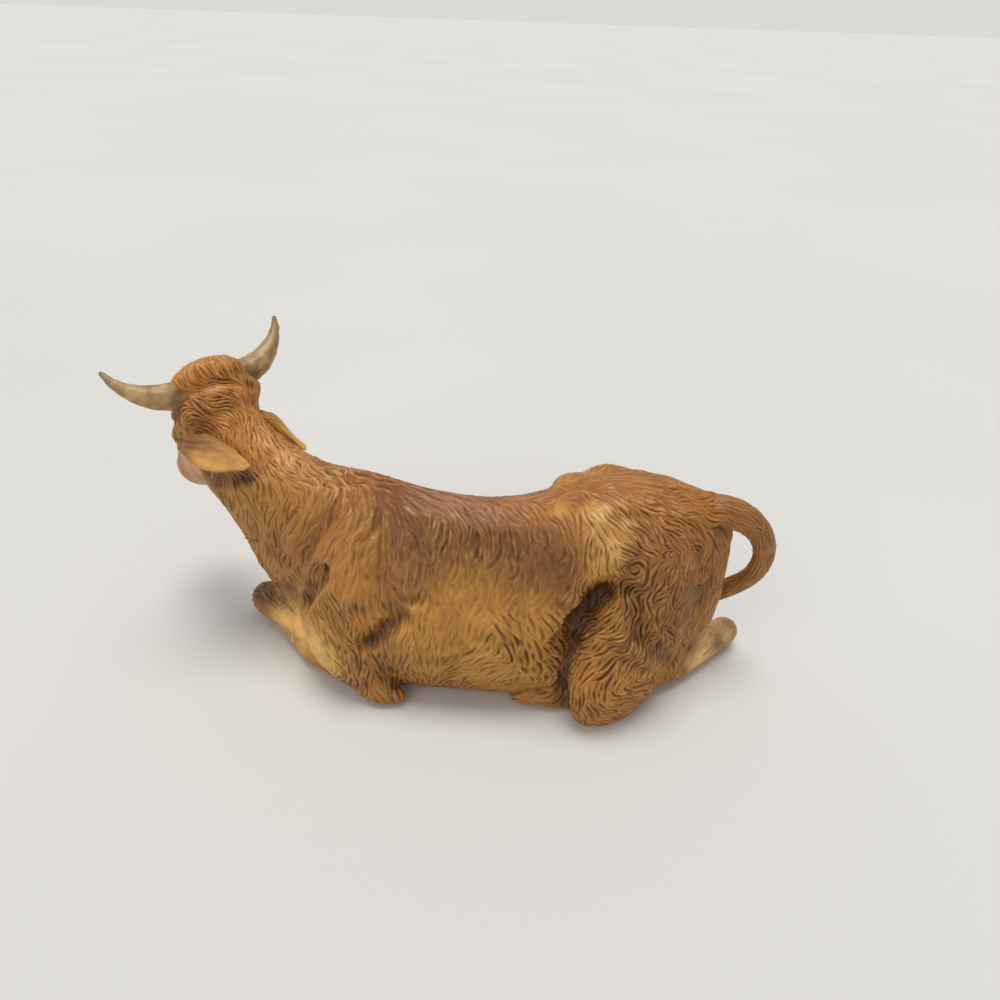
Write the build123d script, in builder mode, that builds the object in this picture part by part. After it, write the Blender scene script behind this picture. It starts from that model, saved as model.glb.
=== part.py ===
from build123d import *
import os
from math import cos, pi, radians, sin

# Resting cow figurine, a painted moulding with a pocket in its base, that lies on its folded
# legs with its head turned to its right. All sizes are in millimetres, X runs towards the tail, Y towards the
# animal's right side and Z up from the table.

# Trunk
trunk_length = 146.0
trunk_half_width = 27.0
trunk_height = 67.0
hip_bone_radius = 5.2
flank_radius = 5.0
hip_stagger = 5.0

# Neck, measured from the withers
neck_length = 62.0
neck_half_width = 13.0
neck_seam_angle = 43.3
spigot_radius = 7.5
spigot_length = 9.0

# Head, turned to the animal's right
head_turn = 39.0
head_roll = 4.0
face_angle = 54.6
head_length = 49.8
head_depth = 29.0
head_width = 25.0
brow_radius = 4.2
eye_radius = 2.6
poll_radius = 4.6

# Horns
horn_length = 25.0
horn_base_radius = 3.8
horn_peg_radius = 2.4
horn_peg_length = 5.0

# Ears
ear_length = 20.0
ear_width = 10.5
ear_thickness = 3.4
ear_droop = 28.0
ear_tab_radius = 1.4
ear_tab_length = 3.0

# Forelegs
shoulder_length = 34.0
shoulder_width = 21.0
shoulder_skew = 25.0
elbow_radius = 8.0
forearm_radius = 6.6
knee_radius = 6.1
fore_cannon_radius = 4.3
fore_hoof_radius = 4.5

# Hind legs
haunch_length = 42.0
haunch_width = 25.0
haunch_skew = 25.0
shank_radius = 6.4
hock_radius = 5.5
heel_radius = 4.9
hind_cannon_radius = 4.4
hind_hoof_radius = 4.6

# Tail
tail_loop_height = 40.0
tail_root_radius = 5.3
tail_peg_radius = 3.0
tail_peg_length = 6.0

# Base cover, and the pocket above it
cover_length = 92.0
cover_width = 25.0
cover_thickness = 2.5
cover_ledge = 1.8
pocket_height = 30.0

cover_centre_share = -0.115

# Fits
glue_gap = 0.1

# Trunk stations, as shares of the trunk's length, half width and height: station, spine offset,
# then half width and height at the foot, the ribs, the back and the crest, and the top.
trunk_shares = [
    (-0.682, 0.36, 0.13, 0.14, 0.21, 0.26, 0.16, 0.38, 0.08, 0.46, 0.49),
    (-0.638, 0.33, 0.28, 0.04, 0.42, 0.30, 0.32, 0.52, 0.15, 0.66, 0.69),
    (-0.548, 0.18, 0.48, 0.00, 0.70, 0.33, 0.46, 0.69, 0.19, 0.86, 0.90),
    (-0.438, -0.04, 0.59, 0.00, 0.89, 0.37, 0.52, 0.75, 0.19, 0.93, 0.985),
    (-0.329, -0.11, 0.55, 0.00, 0.87, 0.40, 0.48, 0.74, 0.20, 0.90, 0.945),
    (-0.205, -0.13, 0.52, 0.00, 0.84, 0.42, 0.47, 0.73, 0.24, 0.87, 0.905),
    (-0.096, -0.07, 0.56, 0.00, 0.86, 0.43, 0.56, 0.75, 0.34, 0.88, 0.915),
    (0.000, 0.00, 0.59, 0.00, 0.89, 0.42, 0.70, 0.84, 0.54, 0.950, 0.995),
    (0.062, 0.04, 0.58, 0.00, 0.85, 0.44, 0.67, 0.85, 0.52, 0.965, 1.015),
    (0.151, 0.15, 0.50, 0.00, 0.70, 0.47, 0.52, 0.82, 0.37, 0.930, 0.990),
    (0.233, 0.24, 0.33, 0.08, 0.48, 0.54, 0.33, 0.80, 0.22, 0.885, 0.930),
    (0.281, 0.30, 0.18, 0.27, 0.31, 0.60, 0.22, 0.76, 0.14, 0.825, 0.860),
]
# Smooth in-between rows for each step of a table, and how many flat sides the sections have
trunk_steps = 2
head_steps = 2
neck_steps = 2
mass_steps = 2
trunk_sides = 16
oval_sides = 12
limb_sides = 8

# Haunch levels from the table up: height, centre along and across, half length, half width, and
# the turn as a share of the haunch's skew
haunch_shares = [
    (0.00, 0.038, 0.66, 0.31, 0.28, 1.6),
    (0.12, 0.042, 0.68, 0.38, 0.36, 1.5),
    (0.27, 0.052, 0.60, 0.42, 0.44, 1.3),
    (0.45, 0.064, 0.48, 0.42, 0.48, 1.1),
    (0.63, 0.072, 0.37, 0.40, 0.45, 1.0),
    (0.78, 0.073, 0.28, 0.35, 0.38, 1.0),
    (0.88, 0.071, 0.19, 0.26, 0.28, 1.0),
    (0.94, 0.069, 0.14, 0.12, 0.13, 1.0),
]
# The hip bone's ridge, from the back down to the point of the hip
hip_shares = [(-0.012, 0.24, 0.915), (0.004, 0.45, 0.897), (0.020, 0.535, 0.850)]

# Steps between two radii of a horn, the tail or a leg, and how such a limb's ends are rounded:
# how far beyond the end and how thick, as shares of the end's radius
horn_steps = 1
tail_steps = 2
leg_steps = 1
end_shares = [(0.62, 0.78), (0.90, 0.44)]

# Shoulder levels from the table up, in the same order
shoulder_shares = [
    (0.03, -0.452, 0.61, 0.33, 0.30, 1.0),
    (0.13, -0.464, 0.64, 0.42, 0.41, 1.0),
    (0.30, -0.473, 0.59, 0.47, 0.50, 1.0),
    (0.48, -0.466, 0.50, 0.47, 0.50, 1.0),
    (0.65, -0.459, 0.41, 0.41, 0.43, 1.0),
    (0.79, -0.446, 0.32, 0.29, 0.31, 1.0),
    (0.86, -0.440, 0.24, 0.13, 0.14, 1.0),
]


def eased(rows, steps):
    """Put smooth in-between rows into a table, so that straight bands follow its curve."""
    befores = [rows[0], *rows[:-2]]
    afters = [*rows[2:], rows[-1]]
    smooth = []
    for before, start, end, after in zip(befores, rows, rows[1:], afters):
        for step in range(steps):
            share = step / steps
            row = []
            for a, b, c, d in zip(before, start, end, after):
                bend = share * (share - 1) * ((1 - share) * (a - 2 * b + c) + share * (b - 2 * c + d)) / 2
                row.append(b + (c - b) * share + bend)
            smooth.append(tuple(row))
    return [*smooth, rows[-1]]


def trunk_section(row):
    """Draw one cross-section of the trunk."""
    station, spine, foot, foot_z, rib, rib_z, back, back_z, crest, crest_z, top = row
    centre = spine * trunk_half_width
    foot_y = foot * trunk_half_width
    rib_y = rib * trunk_half_width
    back_y = back * trunk_half_width
    crest_y = crest * trunk_half_width
    foot_height = foot_z * trunk_height
    rib_height = rib_z * trunk_height
    back_height = back_z * trunk_height
    crest_height = crest_z * trunk_height
    top_height = top * trunk_height
    with BuildLine() as outline:
        Spline(
            (centre - foot_y, foot_height),
            (centre - rib_y, rib_height),
            (centre - back_y, back_height),
            (centre - crest_y, crest_height),
            (centre, top_height),
            (centre + crest_y, crest_height),
            (centre + back_y, back_height),
            (centre + rib_y, rib_height),
            (centre + foot_y, foot_height),
        )
    over = outline.line
    corners = [over @ (side / trunk_sides) for side in range(trunk_sides + 1)]
    with BuildSketch(Plane.YZ.offset(station * trunk_length)) as section:
        Polygon(*[(corner.X, corner.Y) for corner in corners], align=None)
    return section.sketch


def oval(half_length, half_width, sides):
    """List the corners of an even-sided oval."""
    angles = [2 * pi * side / sides for side in range(sides)]
    return [(half_length * cos(angle), half_width * sin(angle)) for angle in angles]


def stacked(levels, length, width, side, skew, stagger):
    """Loft ellipses one above another on one side, from a table of levels."""
    with BuildPart() as mass:
        for height, along, across, half_length, half_width, turn_share in eased(levels, mass_steps):
            x = along * trunk_length - side * stagger
            y = side * across * trunk_half_width
            with BuildSketch(Plane.XY.offset(height * trunk_height)):
                with Locations(Location((x, y), side * skew * turn_share)):
                    Polygon(*oval(half_length * length, half_width * width, oval_sides), align=None)
        loft(ruled=True)
    return mass.part


def limb(points, radii, steps, upright):
    """Join many-sided sections square to a smooth path through the points, rounded at both ends."""
    with BuildLine() as route:
        Spline(*points)
    path = route.line
    spans = len(radii) - 1
    stations = []
    for beyond, thin in reversed(end_shares):
        stations.append((0, -beyond * radii[0], thin * radii[0]))
    for station in range(spans * steps + 1):
        span = min(station // steps, spans - 1)
        blend = station / steps - span
        radius = radii[span] + (radii[span + 1] - radii[span]) * blend
        stations.append((station / (spans * steps), 0, radius))
    for beyond, thin in end_shares:
        stations.append((1, beyond * radii[-1], thin * radii[-1]))
    with BuildPart() as form:
        for share, beyond, radius in stations:
            way = path % share
            with BuildSketch(Plane(origin=path @ share + way * beyond, x_dir=way.cross(upright), z_dir=way)):
                Polygon(*oval(radius, radius, limb_sides), align=None)
        loft(ruled=True)
    return form.part


def place(shares):
    """Turn shares of the trunk's length, half width and height into a point."""
    along, across, up = shares
    return Vector(along * trunk_length, across * trunk_half_width, up * trunk_height)


def peg(seat, direction, radius, length):
    """Make a round peg from a seat into the piece that carries it."""
    with BuildPart() as form:
        with BuildSketch(Plane(origin=seat, z_dir=direction)):
            Circle(radius)
        extrude(amount=length)
    return form.part


# Neck stations from the withers, as shares of the neck's length: the top's place, then the
# front's place, then the half width as a share of the neck's half width.
withers = Vector(-0.47 * trunk_length, 0, 0.98 * trunk_height)
neck_shares = [
    (0.203, -0.032, -0.060, -0.394, 0.129, -0.915, 1.08),
    (0.010, -0.016, -0.025, -0.515, 0.129, -0.737, 1.04),
    (-0.168, 0.032, -0.022, -0.587, 0.137, -0.527, 0.92),
    (-0.329, 0.097, 0.026, -0.676, 0.145, -0.350, 0.87),
    (-0.474, 0.161, 0.120, -0.781, 0.161, -0.189, 0.85),
    (-0.600, 0.215, 0.250, -0.800, 0.215, 0.010, 0.62),
]
seam_shares = (-0.039, 0.000)
seam_point = withers + Vector(seam_shares[0] * neck_length, 0, seam_shares[1] * neck_length)
seam_normal = Vector(-sin(radians(neck_seam_angle)), 0, cos(radians(neck_seam_angle)))
seam = Plane(origin=seam_point, x_dir=(0, 1, 0), z_dir=seam_normal)
# The spigot's place on the seam: across, and along the seam towards the chest
spigot_shares = (0.26, 0.40)
spigot_across = spigot_shares[0] * neck_half_width
spigot_down = spigot_shares[1] * neck_length
seam_fall = Vector(-cos(radians(neck_seam_angle)), 0, -sin(radians(neck_seam_angle)))
spigot_centre = seam_point + seam_fall * spigot_down + Vector(0, spigot_across, 0)
spigot_plane = Plane(origin=spigot_centre, x_dir=(0, 1, 0), z_dir=seam_normal)

# Head frame: origin at the poll, then along the face, out of the forehead and to the head's right
poll_shares = (-0.690, 0.213, 0.327)
poll = withers + Vector(*poll_shares) * neck_length
forward = Vector(-cos(radians(head_turn)), sin(radians(head_turn)), 0)
level = Vector(sin(radians(head_turn)), cos(radians(head_turn)), 0)
right = level * cos(radians(head_roll)) + Vector(0, 0, sin(radians(head_roll)))
along_face = forward * cos(radians(face_angle)) - Vector(0, 0, sin(radians(face_angle)))
out_of_face = forward * sin(radians(face_angle)) + Vector(0, 0, cos(radians(face_angle)))

# Head stations: along the face, centre out of it, half depth and half width, as shares of the
# head's length, depth and width
head_shares = [
    (-0.045, 0.045, 0.07, 0.16),
    (-0.012, 0.000, 0.18, 0.34),
    (0.065, -0.095, 0.33, 0.46),
    (0.200, -0.205, 0.465, 0.49),
    (0.400, -0.328, 0.425, 0.47),
    (0.560, -0.345, 0.395, 0.40),
    (0.720, -0.300, 0.355, 0.33),
    (0.860, -0.200, 0.307, 0.295),
    (0.960, -0.150, 0.255, 0.27),
    (1.006, -0.134, 0.165, 0.175),
]
# The brow's ridge, from over the eye to the eye's corner
brow_shares = [(0.29, -0.15, 0.32), (0.34, -0.21, 0.38), (0.40, -0.29, 0.41)]
# The thick roll of hair across the back of the poll, from one horn to the other
roll_shares = [(0.10, -0.22, -0.36), (0.045, -0.22, 0.00), (0.10, -0.22, 0.36)]


def head_point(shares, side=1):
    """Turn shares of the head's length, depth and width into a point on one side of it."""
    along, out, across = shares
    point = poll + along_face * (along * head_length) + out_of_face * (out * head_depth)
    return point + right * (side * across * head_width)


# Horn routes from their seats: out from the head, forward and up, as shares of the horn's length
horn_seat_shares = (0.089, -0.024, 0.36)
horn_route_shares = {
    -1: [(0.00, 0.00, 0.00), (0.30, 0.01, 0.07), (0.52, 0.18, 0.18), (0.65, 0.42, 0.35)],
    1: [(0.00, 0.00, 0.00), (0.30, 0.00, 0.05), (0.52, 0.06, 0.19), (0.73, 0.29, 0.39)],
}
horn_taper_shares = (1.00, 0.97, 0.88, 0.73, 0.55, 0.37, 0.20)


def horn(side, gap):
    """Make one horn with its peg, or the hole that takes it where a gap is given."""
    seat = head_point(horn_seat_shares, side)
    points = []
    for across, ahead, up in horn_route_shares[side]:
        step = right * (side * across) + forward * ahead + Vector(0, 0, up)
        points.append(seat + step * horn_length)
    with BuildPart() as form:
        radii = [share * horn_base_radius + gap for share in horn_taper_shares]
        add(limb(points, radii, horn_steps, Vector(0, 0, 1)))
        add(peg(seat, right * -side, horn_peg_radius + gap, horn_peg_length + gap))
    return form


# Ear roots from the poll, as shares of the neck's length, and which way each ear points
ear_root_shares = {-1: (-0.066, -0.253, -0.242), 1: (0.103, 0.102, -0.258)}
ear_aim_shares = {-1: (0.974, -0.158, -0.184), 1: (0.911, -0.193, -0.370)}
# Ear outline: station and half width, as shares of its length and width
ear_outline_shares = [(-0.01, 0.20), (0.10, 0.33), (0.26, 0.45), (0.44, 0.50), (0.64, 0.46), (0.84, 0.35), (0.99, 0.20)]
ear_edge_share = 0.42


def ear(side, gap):
    """Make one ear, a leaf that lies back along the neck, or its seat where a gap is given."""
    root = poll + Vector(*ear_root_shares[side]) * neck_length
    aim = Vector(*ear_aim_shares[side]).normalized()
    droop = Vector(0, side * sin(radians(ear_droop)), -cos(radians(ear_droop)))
    with BuildPart() as form:
        with BuildSketch(Plane(origin=root, x_dir=aim, z_dir=aim.cross(droop))):
            edge = [(along * ear_length, half_width * ear_width) for along, half_width in ear_outline_shares]
            Polygon(*edge, *[(along, -half_width) for along, half_width in reversed(edge)], align=None)
            if gap:
                offset(amount=gap, kind=Kind.INTERSECTION)
        extrude(amount=ear_thickness / 2 + gap, both=True)
        rims = form.faces().filter_by(GeomType.PLANE).sort_by(SortBy.AREA)[-2:].edges()
        chamfer(rims, length=ear_edge_share * ear_thickness)
        with BuildSketch(Plane(origin=root + aim * (ear_width / 4), z_dir=(0, -side, 0))):
            Circle(ear_tab_radius + gap)
        extrude(amount=ear_tab_length + ear_thickness / 2 + gap)
    return form


# Tail route from the rump: along, across and up, as shares of the loop's height
tail_root_shares = (0.233, 0.22, 0.85)
tail_route_shares = [
    (0.00, 0.00, 0.00),
    (0.25, 0.00, -0.04),
    (0.44, 0.02, -0.26),
    (0.45, 0.05, -0.53),
    (0.30, 0.11, -0.76),
    (0.12, 0.18, -0.92),
]
tail_taper_shares = (1.00, 0.93, 0.77, 0.66, 0.60, 0.57, 0.60, 0.66)


def tail_piece(gap):
    """Make the tail with its peg, or its seats where a gap is given."""
    root = place(tail_root_shares)
    points = [root + Vector(*share) * tail_loop_height for share in tail_route_shares]
    inward = points[0] - points[1]
    with BuildPart() as form:
        radii = [share * tail_root_radius + gap for share in tail_taper_shares]
        add(limb(points, radii, tail_steps, Vector(0, 1, 0)))
        add(peg(root, inward, tail_peg_radius + gap, tail_peg_length + gap))
    return form


# Trunk and neck, before they are parted at the seam
with BuildPart() as trunk_form:
    for row in eased(trunk_shares, trunk_steps):
        add(trunk_section(row))
    loft(ruled=True)

with BuildPart() as neck_form:
    for top_x, top_y, top_z, front_x, front_y, front_z, half_share in eased(neck_shares, neck_steps):
        top = withers + Vector(top_x, top_y, top_z) * neck_length
        front = withers + Vector(front_x, front_y, front_z) * neck_length
        upright = (top - front).normalized()
        sideways = Vector(0, 1, 0) - upright * upright.Y
        facing = sideways.cross(upright)
        with BuildSketch(Plane(origin=(top + front) / 2, x_dir=sideways, z_dir=facing)):
            Polygon(*oval(half_share * neck_half_width, (top - front).length / 2, oval_sides), align=None)
    loft(ruled=True)

with BuildPart() as head_form:
    for along, out, half_depth, half_width in eased(head_shares, head_steps):
        with BuildSketch(Plane(origin=head_point((along, out, 0)), x_dir=right, z_dir=along_face)):
            Polygon(*oval(half_width * head_width, half_depth * head_depth, oval_sides), align=None)
    loft(ruled=True)
    for side in (-1, 1):
        ridge = [head_point(shares, side) for shares in brow_shares]
        add(limb(ridge, (brow_radius, eye_radius), 1, Vector(0, 0, 1)))
    roll = [head_point(shares) for shares in roll_shares]
    add(limb(roll, (poll_radius, poll_radius, poll_radius), horn_steps, Vector(0, 0, 1)))

# Hollow under each hip, in front of the thigh: places as shares of the trunk, and radii
flank_shares = {
    -1: [(0.034, -0.80, 0.700), (-0.010, -0.88, 0.575), (-0.032, -0.92, 0.420)],
    1: [(-0.048, 0.80, 0.700), (-0.092, 0.88, 0.575), (-0.114, 0.92, 0.420)],
}

# Legs, as shares of the trunk's length, half width and height
forearm_shares = {
    -1: [(-0.438, -0.63, 0.165), (-0.589, -0.15, 0.140), (-0.712, 0.33, 0.097)],
    1: [(-0.438, 0.56, 0.165), (-0.548, 0.63, 0.140), (-0.644, 0.61, 0.097)],
}
fore_cannon_shares = {
    -1: [(-0.692, 0.30, 0.064), (-0.548, -0.48, 0.064), (-0.397, -0.89, 0.064)],
    1: [(-0.630, 0.56, 0.064), (-0.520, 0.67, 0.064), (-0.411, 0.74, 0.064)],
}
fore_hoof_shares = {
    -1: [(-0.425, -0.85, 0.064), (-0.390, -0.92, 0.062), (-0.356, -0.96, 0.048)],
    1: [(-0.425, 0.72, 0.064), (-0.380, 0.77, 0.062), (-0.340, 0.80, 0.048)],
}
shank_shares = {
    -1: [(0.068, -0.63, 0.110), (0.208, -0.15, 0.095), (0.332, 0.50, 0.084)],
    1: [(0.020, 0.67, 0.110), (0.130, 0.72, 0.095), (0.235, 0.74, 0.080)],
}
hind_hoof_shares = {
    -1: [(0.060, -0.70, 0.065), (-0.055, -0.74, 0.065), (-0.118, -0.78, 0.050)],
    1: [(0.030, 0.78, 0.065), (-0.075, 0.82, 0.065), (-0.138, 0.86, 0.050)],
}

limbs = []
for side in (-1, 1):
    limbs.append(stacked(haunch_shares, haunch_length, haunch_width, side, -haunch_skew, hip_stagger))
    limbs.append(stacked(shoulder_shares, shoulder_length, shoulder_width, side, shoulder_skew, 0))
    for shares, radii in (
        (forearm_shares, (elbow_radius, forearm_radius, knee_radius)),
        (fore_cannon_shares, (fore_cannon_radius, fore_cannon_radius, fore_cannon_radius)),
        (fore_hoof_shares, (fore_hoof_radius, fore_hoof_radius, fore_hoof_radius / 2)),
        (shank_shares, (shank_radius, hock_radius, heel_radius)),
        (hind_hoof_shares, (hind_cannon_radius, hind_hoof_radius, hind_hoof_radius / 2)),
    ):
        limbs.append(limb([place(share) for share in shares[side]], radii, leg_steps, Vector(0, 0, 1)))

tail = tail_piece(0)
left_horn = horn(-1, 0)
right_horn = horn(1, 0)
left_ear = ear(-1, 0)
right_ear = ear(1, 0)
seats = [horn(-1, glue_gap), horn(1, glue_gap), ear(-1, glue_gap), ear(1, glue_gap)]
tail_seat = tail_piece(glue_gap)

with BuildPart() as body:
    add(trunk_form.part)
    add(neck_form.part)
    split(bisect_by=seam, keep=Keep.BOTTOM)
    add(limbs)
    for side in (-1, 1):
        hip = [place((along, side * across, up)) - Vector(side * hip_stagger, 0, 0) for along, across, up in hip_shares]
        add(limb(hip, (hip_bone_radius, hip_bone_radius), 1, Vector(1, 0, 0)))
    split(bisect_by=Plane.XY, keep=Keep.TOP)
    for side in (-1, 1):
        flank = [place(shares) for shares in flank_shares[side]]
        add(limb(flank, (flank_radius, flank_radius), leg_steps, Vector(1, 0, 0)), mode=Mode.SUBTRACT)
    with BuildSketch(Plane.XY):
        with Locations((cover_centre_share * trunk_length, 0)):
            SlotOverall(cover_length - 2 * cover_ledge, cover_width - 2 * cover_ledge)
    extrude(amount=pocket_height, mode=Mode.SUBTRACT)
    with BuildSketch(Plane.XY):
        with Locations((cover_centre_share * trunk_length, 0)):
            SlotOverall(cover_length + 2 * glue_gap, cover_width + 2 * glue_gap)
    extrude(amount=cover_thickness, mode=Mode.SUBTRACT)
    with BuildSketch(spigot_plane):
        Circle(spigot_radius + glue_gap)
    extrude(amount=-spigot_length - glue_gap, mode=Mode.SUBTRACT)
    add(tail_seat.part, mode=Mode.SUBTRACT)

with BuildPart() as head_and_neck:
    add(trunk_form.part)
    add(neck_form.part)
    split(bisect_by=seam, keep=Keep.TOP)
    add(head_form.part)
    with BuildSketch(spigot_plane):
        Circle(spigot_radius)
    extrude(amount=-spigot_length)
    add([seat.part for seat in seats], mode=Mode.SUBTRACT)

with BuildPart() as base_cover:
    with BuildSketch(Plane.XY):
        with Locations((cover_centre_share * trunk_length, 0)):
            SlotOverall(cover_length, cover_width)
    extrude(amount=cover_thickness)

pieces = {
    "body": body,
    "base_cover": base_cover,
    "head_and_neck": head_and_neck,
    "left_horn": left_horn,
    "right_horn": right_horn,
    "left_ear": left_ear,
    "right_ear": right_ear,
    "tail": tail,
}
boxes = [piece.part.bounding_box() for piece in pieces.values()]
middle_x = (min(box.min.X for box in boxes) + max(box.max.X for box in boxes)) / 2
middle_y = (min(box.min.Y for box in boxes) + max(box.max.Y for box in boxes)) / 2
home = Location((-middle_x, -middle_y, 0))

os.makedirs("parts", exist_ok=True)
for name, piece in pieces.items():
    piece.part.label = name
    piece.part.location = home
    export_step(piece.part, f"parts/{name}.step")
print("moved home by", home.position)
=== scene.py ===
"""Resting long-horned cow figurine: sculpted casting, combed coat, paint, and a plain studio."""

import itertools
import logging
import math
import sys
from dataclasses import dataclass, field
from enum import Enum
from typing import Iterable, Optional, Sequence

import bmesh
import bpy
import numpy as np
from mathutils import Matrix, Vector
from mathutils.bvhtree import BVHTree
from mathutils.kdtree import KDTree

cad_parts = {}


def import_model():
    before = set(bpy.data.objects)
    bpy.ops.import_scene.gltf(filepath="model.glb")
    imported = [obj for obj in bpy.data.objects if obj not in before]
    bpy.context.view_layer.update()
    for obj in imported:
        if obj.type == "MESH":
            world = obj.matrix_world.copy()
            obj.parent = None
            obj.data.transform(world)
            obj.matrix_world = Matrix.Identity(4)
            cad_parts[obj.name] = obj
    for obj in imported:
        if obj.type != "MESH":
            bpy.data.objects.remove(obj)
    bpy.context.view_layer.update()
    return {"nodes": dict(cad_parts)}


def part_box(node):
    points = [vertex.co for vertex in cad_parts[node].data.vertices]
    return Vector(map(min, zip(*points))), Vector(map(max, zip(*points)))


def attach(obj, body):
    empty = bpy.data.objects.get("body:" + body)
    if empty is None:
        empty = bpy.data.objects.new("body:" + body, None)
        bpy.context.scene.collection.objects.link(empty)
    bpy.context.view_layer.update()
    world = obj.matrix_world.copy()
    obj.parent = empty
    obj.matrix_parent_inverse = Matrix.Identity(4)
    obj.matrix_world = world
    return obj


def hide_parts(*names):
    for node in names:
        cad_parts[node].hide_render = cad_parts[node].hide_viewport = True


LOG = logging.getLogger("cow")
MM = 1000.0
TINY = 1e-12
BATCH = 20000
NEIGHBOURS = tuple(itertools.product((-1, 0, 1), repeat=3))
SPINE_X = (-115.0, -100.0, -60.0, -30.0, 0.0, 30.0, 60.0)
SPINE_Y = (10.0, 8.0, -1.0, -3.5, 0.0, 4.0, 8.0)


class Station(Enum):
    """The two sides from which the photograph shows the moulding."""

    SIDE = "side"
    FACE = "face"


class Part(Enum):
    """Which piece of the casting a patch of the skin belongs to."""

    HEAD = "head"
    CHEST = "chest"
    BARREL = "barrel"
    LOIN = "loin"
    RUMP = "rump"


def rgb(code: str) -> tuple[float, float, float]:
    """Linear colour of a six-figure hex code."""
    parts = [int(code[k : k + 2], 16) / 255 for k in (0, 2, 4)]
    return tuple(c / 12.92 if c <= 0.04045 else ((c + 0.055) / 1.055) ** 2.4 for c in parts)


def plain(code: str, count: int) -> np.ndarray:
    """One linear colour, repeated for a number of points."""
    return np.tile(rgb(code), (count, 1))


def blended(colour: np.ndarray, code: str, share: np.ndarray) -> np.ndarray:
    """Colours moved towards a hex colour, by a share for each point."""
    return colour + (np.array(rgb(code)) - colour) * share[:, None]


def unit(rows: np.ndarray) -> np.ndarray:
    """Vectors brought to a length of 1."""
    return rows / (np.linalg.norm(rows, axis=-1, keepdims=True) + TINY)


def dots(text: str) -> list[tuple[float, ...]]:
    """Rows of numbers from a line of text: commas inside a row, blanks between rows."""
    return [tuple(float(number) for number in row.split(",")) for row in text.split()]


# Camera stations and frames


@dataclass(frozen=True)
class Lens:
    """A camera station in the animal's own frame, in millimetres and degrees."""

    place: tuple[float, float, float]
    yaw: float
    pitch: float = 33.094
    roll: float = 1.967
    focal: float = 746.56
    frame: float = 1000.0

    def axes(self) -> tuple[np.ndarray, np.ndarray, np.ndarray]:
        """Right, up and forward unit vectors."""
        yaw, pitch, roll = (math.radians(a) for a in (self.yaw, self.pitch, self.roll))
        low = math.cos(pitch)
        ahead = np.array((math.sin(yaw) * low, math.cos(yaw) * low, -math.sin(pitch)))
        flat = np.array((math.cos(yaw), -math.sin(yaw), 0.0))
        right = math.cos(roll) * flat + math.sin(roll) * np.cross(flat, ahead)
        return right, np.cross(right, ahead), ahead

    def ray(self, x: float, y: float) -> tuple[np.ndarray, np.ndarray]:
        """Start and unit direction of the ray through a point of the photograph.

        Args:
            x: Pixels from the left of the 1000 by 1000 frame.
            y: Pixels from its top.

        Returns:
            The station and the direction.
        """
        right, up, ahead = self.axes()
        middle = self.frame / 2
        way = ahead + right * (x - middle) / self.focal - up * (y - middle) / self.focal
        return np.array(self.place), unit(way)


LENSES = {
    Station.SIDE: Lens((-11.68, -177.04, 174.66), -4.622),
    Station.FACE: Lens((-199.58, -234.53, 174.66), 20.408),
}


@dataclass
class Yard:
    """Turns the animal's frame, in millimetres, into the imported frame, in metres."""

    trunk_length: float = 146.0
    cover_share: float = -0.115
    home: np.ndarray = field(init=False)

    def __post_init__(self) -> None:
        """Find the home shift from the base cover's box."""
        low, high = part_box("base_cover")
        middle = (np.array(low) + np.array(high)) * MM / 2
        self.home = np.array((middle[0] - self.cover_share * self.trunk_length, middle[1], 0.0))

    def inward(self, points: np.ndarray) -> np.ndarray:
        """Packed metres to the animal's millimetres."""
        return points * MM - self.home

    def outward(self, points: np.ndarray) -> np.ndarray:
        """The animal's millimetres to packed metres."""
        return (points + self.home) / MM


# Tables of the sculptor's touches, with places as x,y in pixels of the photograph


@dataclass(frozen=True)
class Touch:
    """One touch of the modelling tool along a line drawn on the photograph.

    Sizes are in millimetres. A positive lift swells the form and a negative one presses it in.
    """

    view: Station
    line: str
    reach: float
    lift: float
    firm: float = 2.0
    both: bool = True


@dataclass(frozen=True)
class Comb:
    """Hair that shares one stroke.

    Pitch, length and depth are in millimetres, the hook is how far a stroke bends in degrees, and the
    wave is how far its heading swings in radians. Each place holds x, y and the heading on the
    photograph in degrees, 0 to the right and 90 down.
    """

    view: Station
    pitch: float
    length: float
    depth: float
    hook: float
    wave: float
    at: str
    both: bool = True


@dataclass(frozen=True)
class Brush:
    """A paint patch: each place holds x, y and a reach in millimetres."""

    view: Station
    colour: str
    strength: float
    at: str


SIDE, FACE = Station.SIDE, Station.FACE

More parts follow.
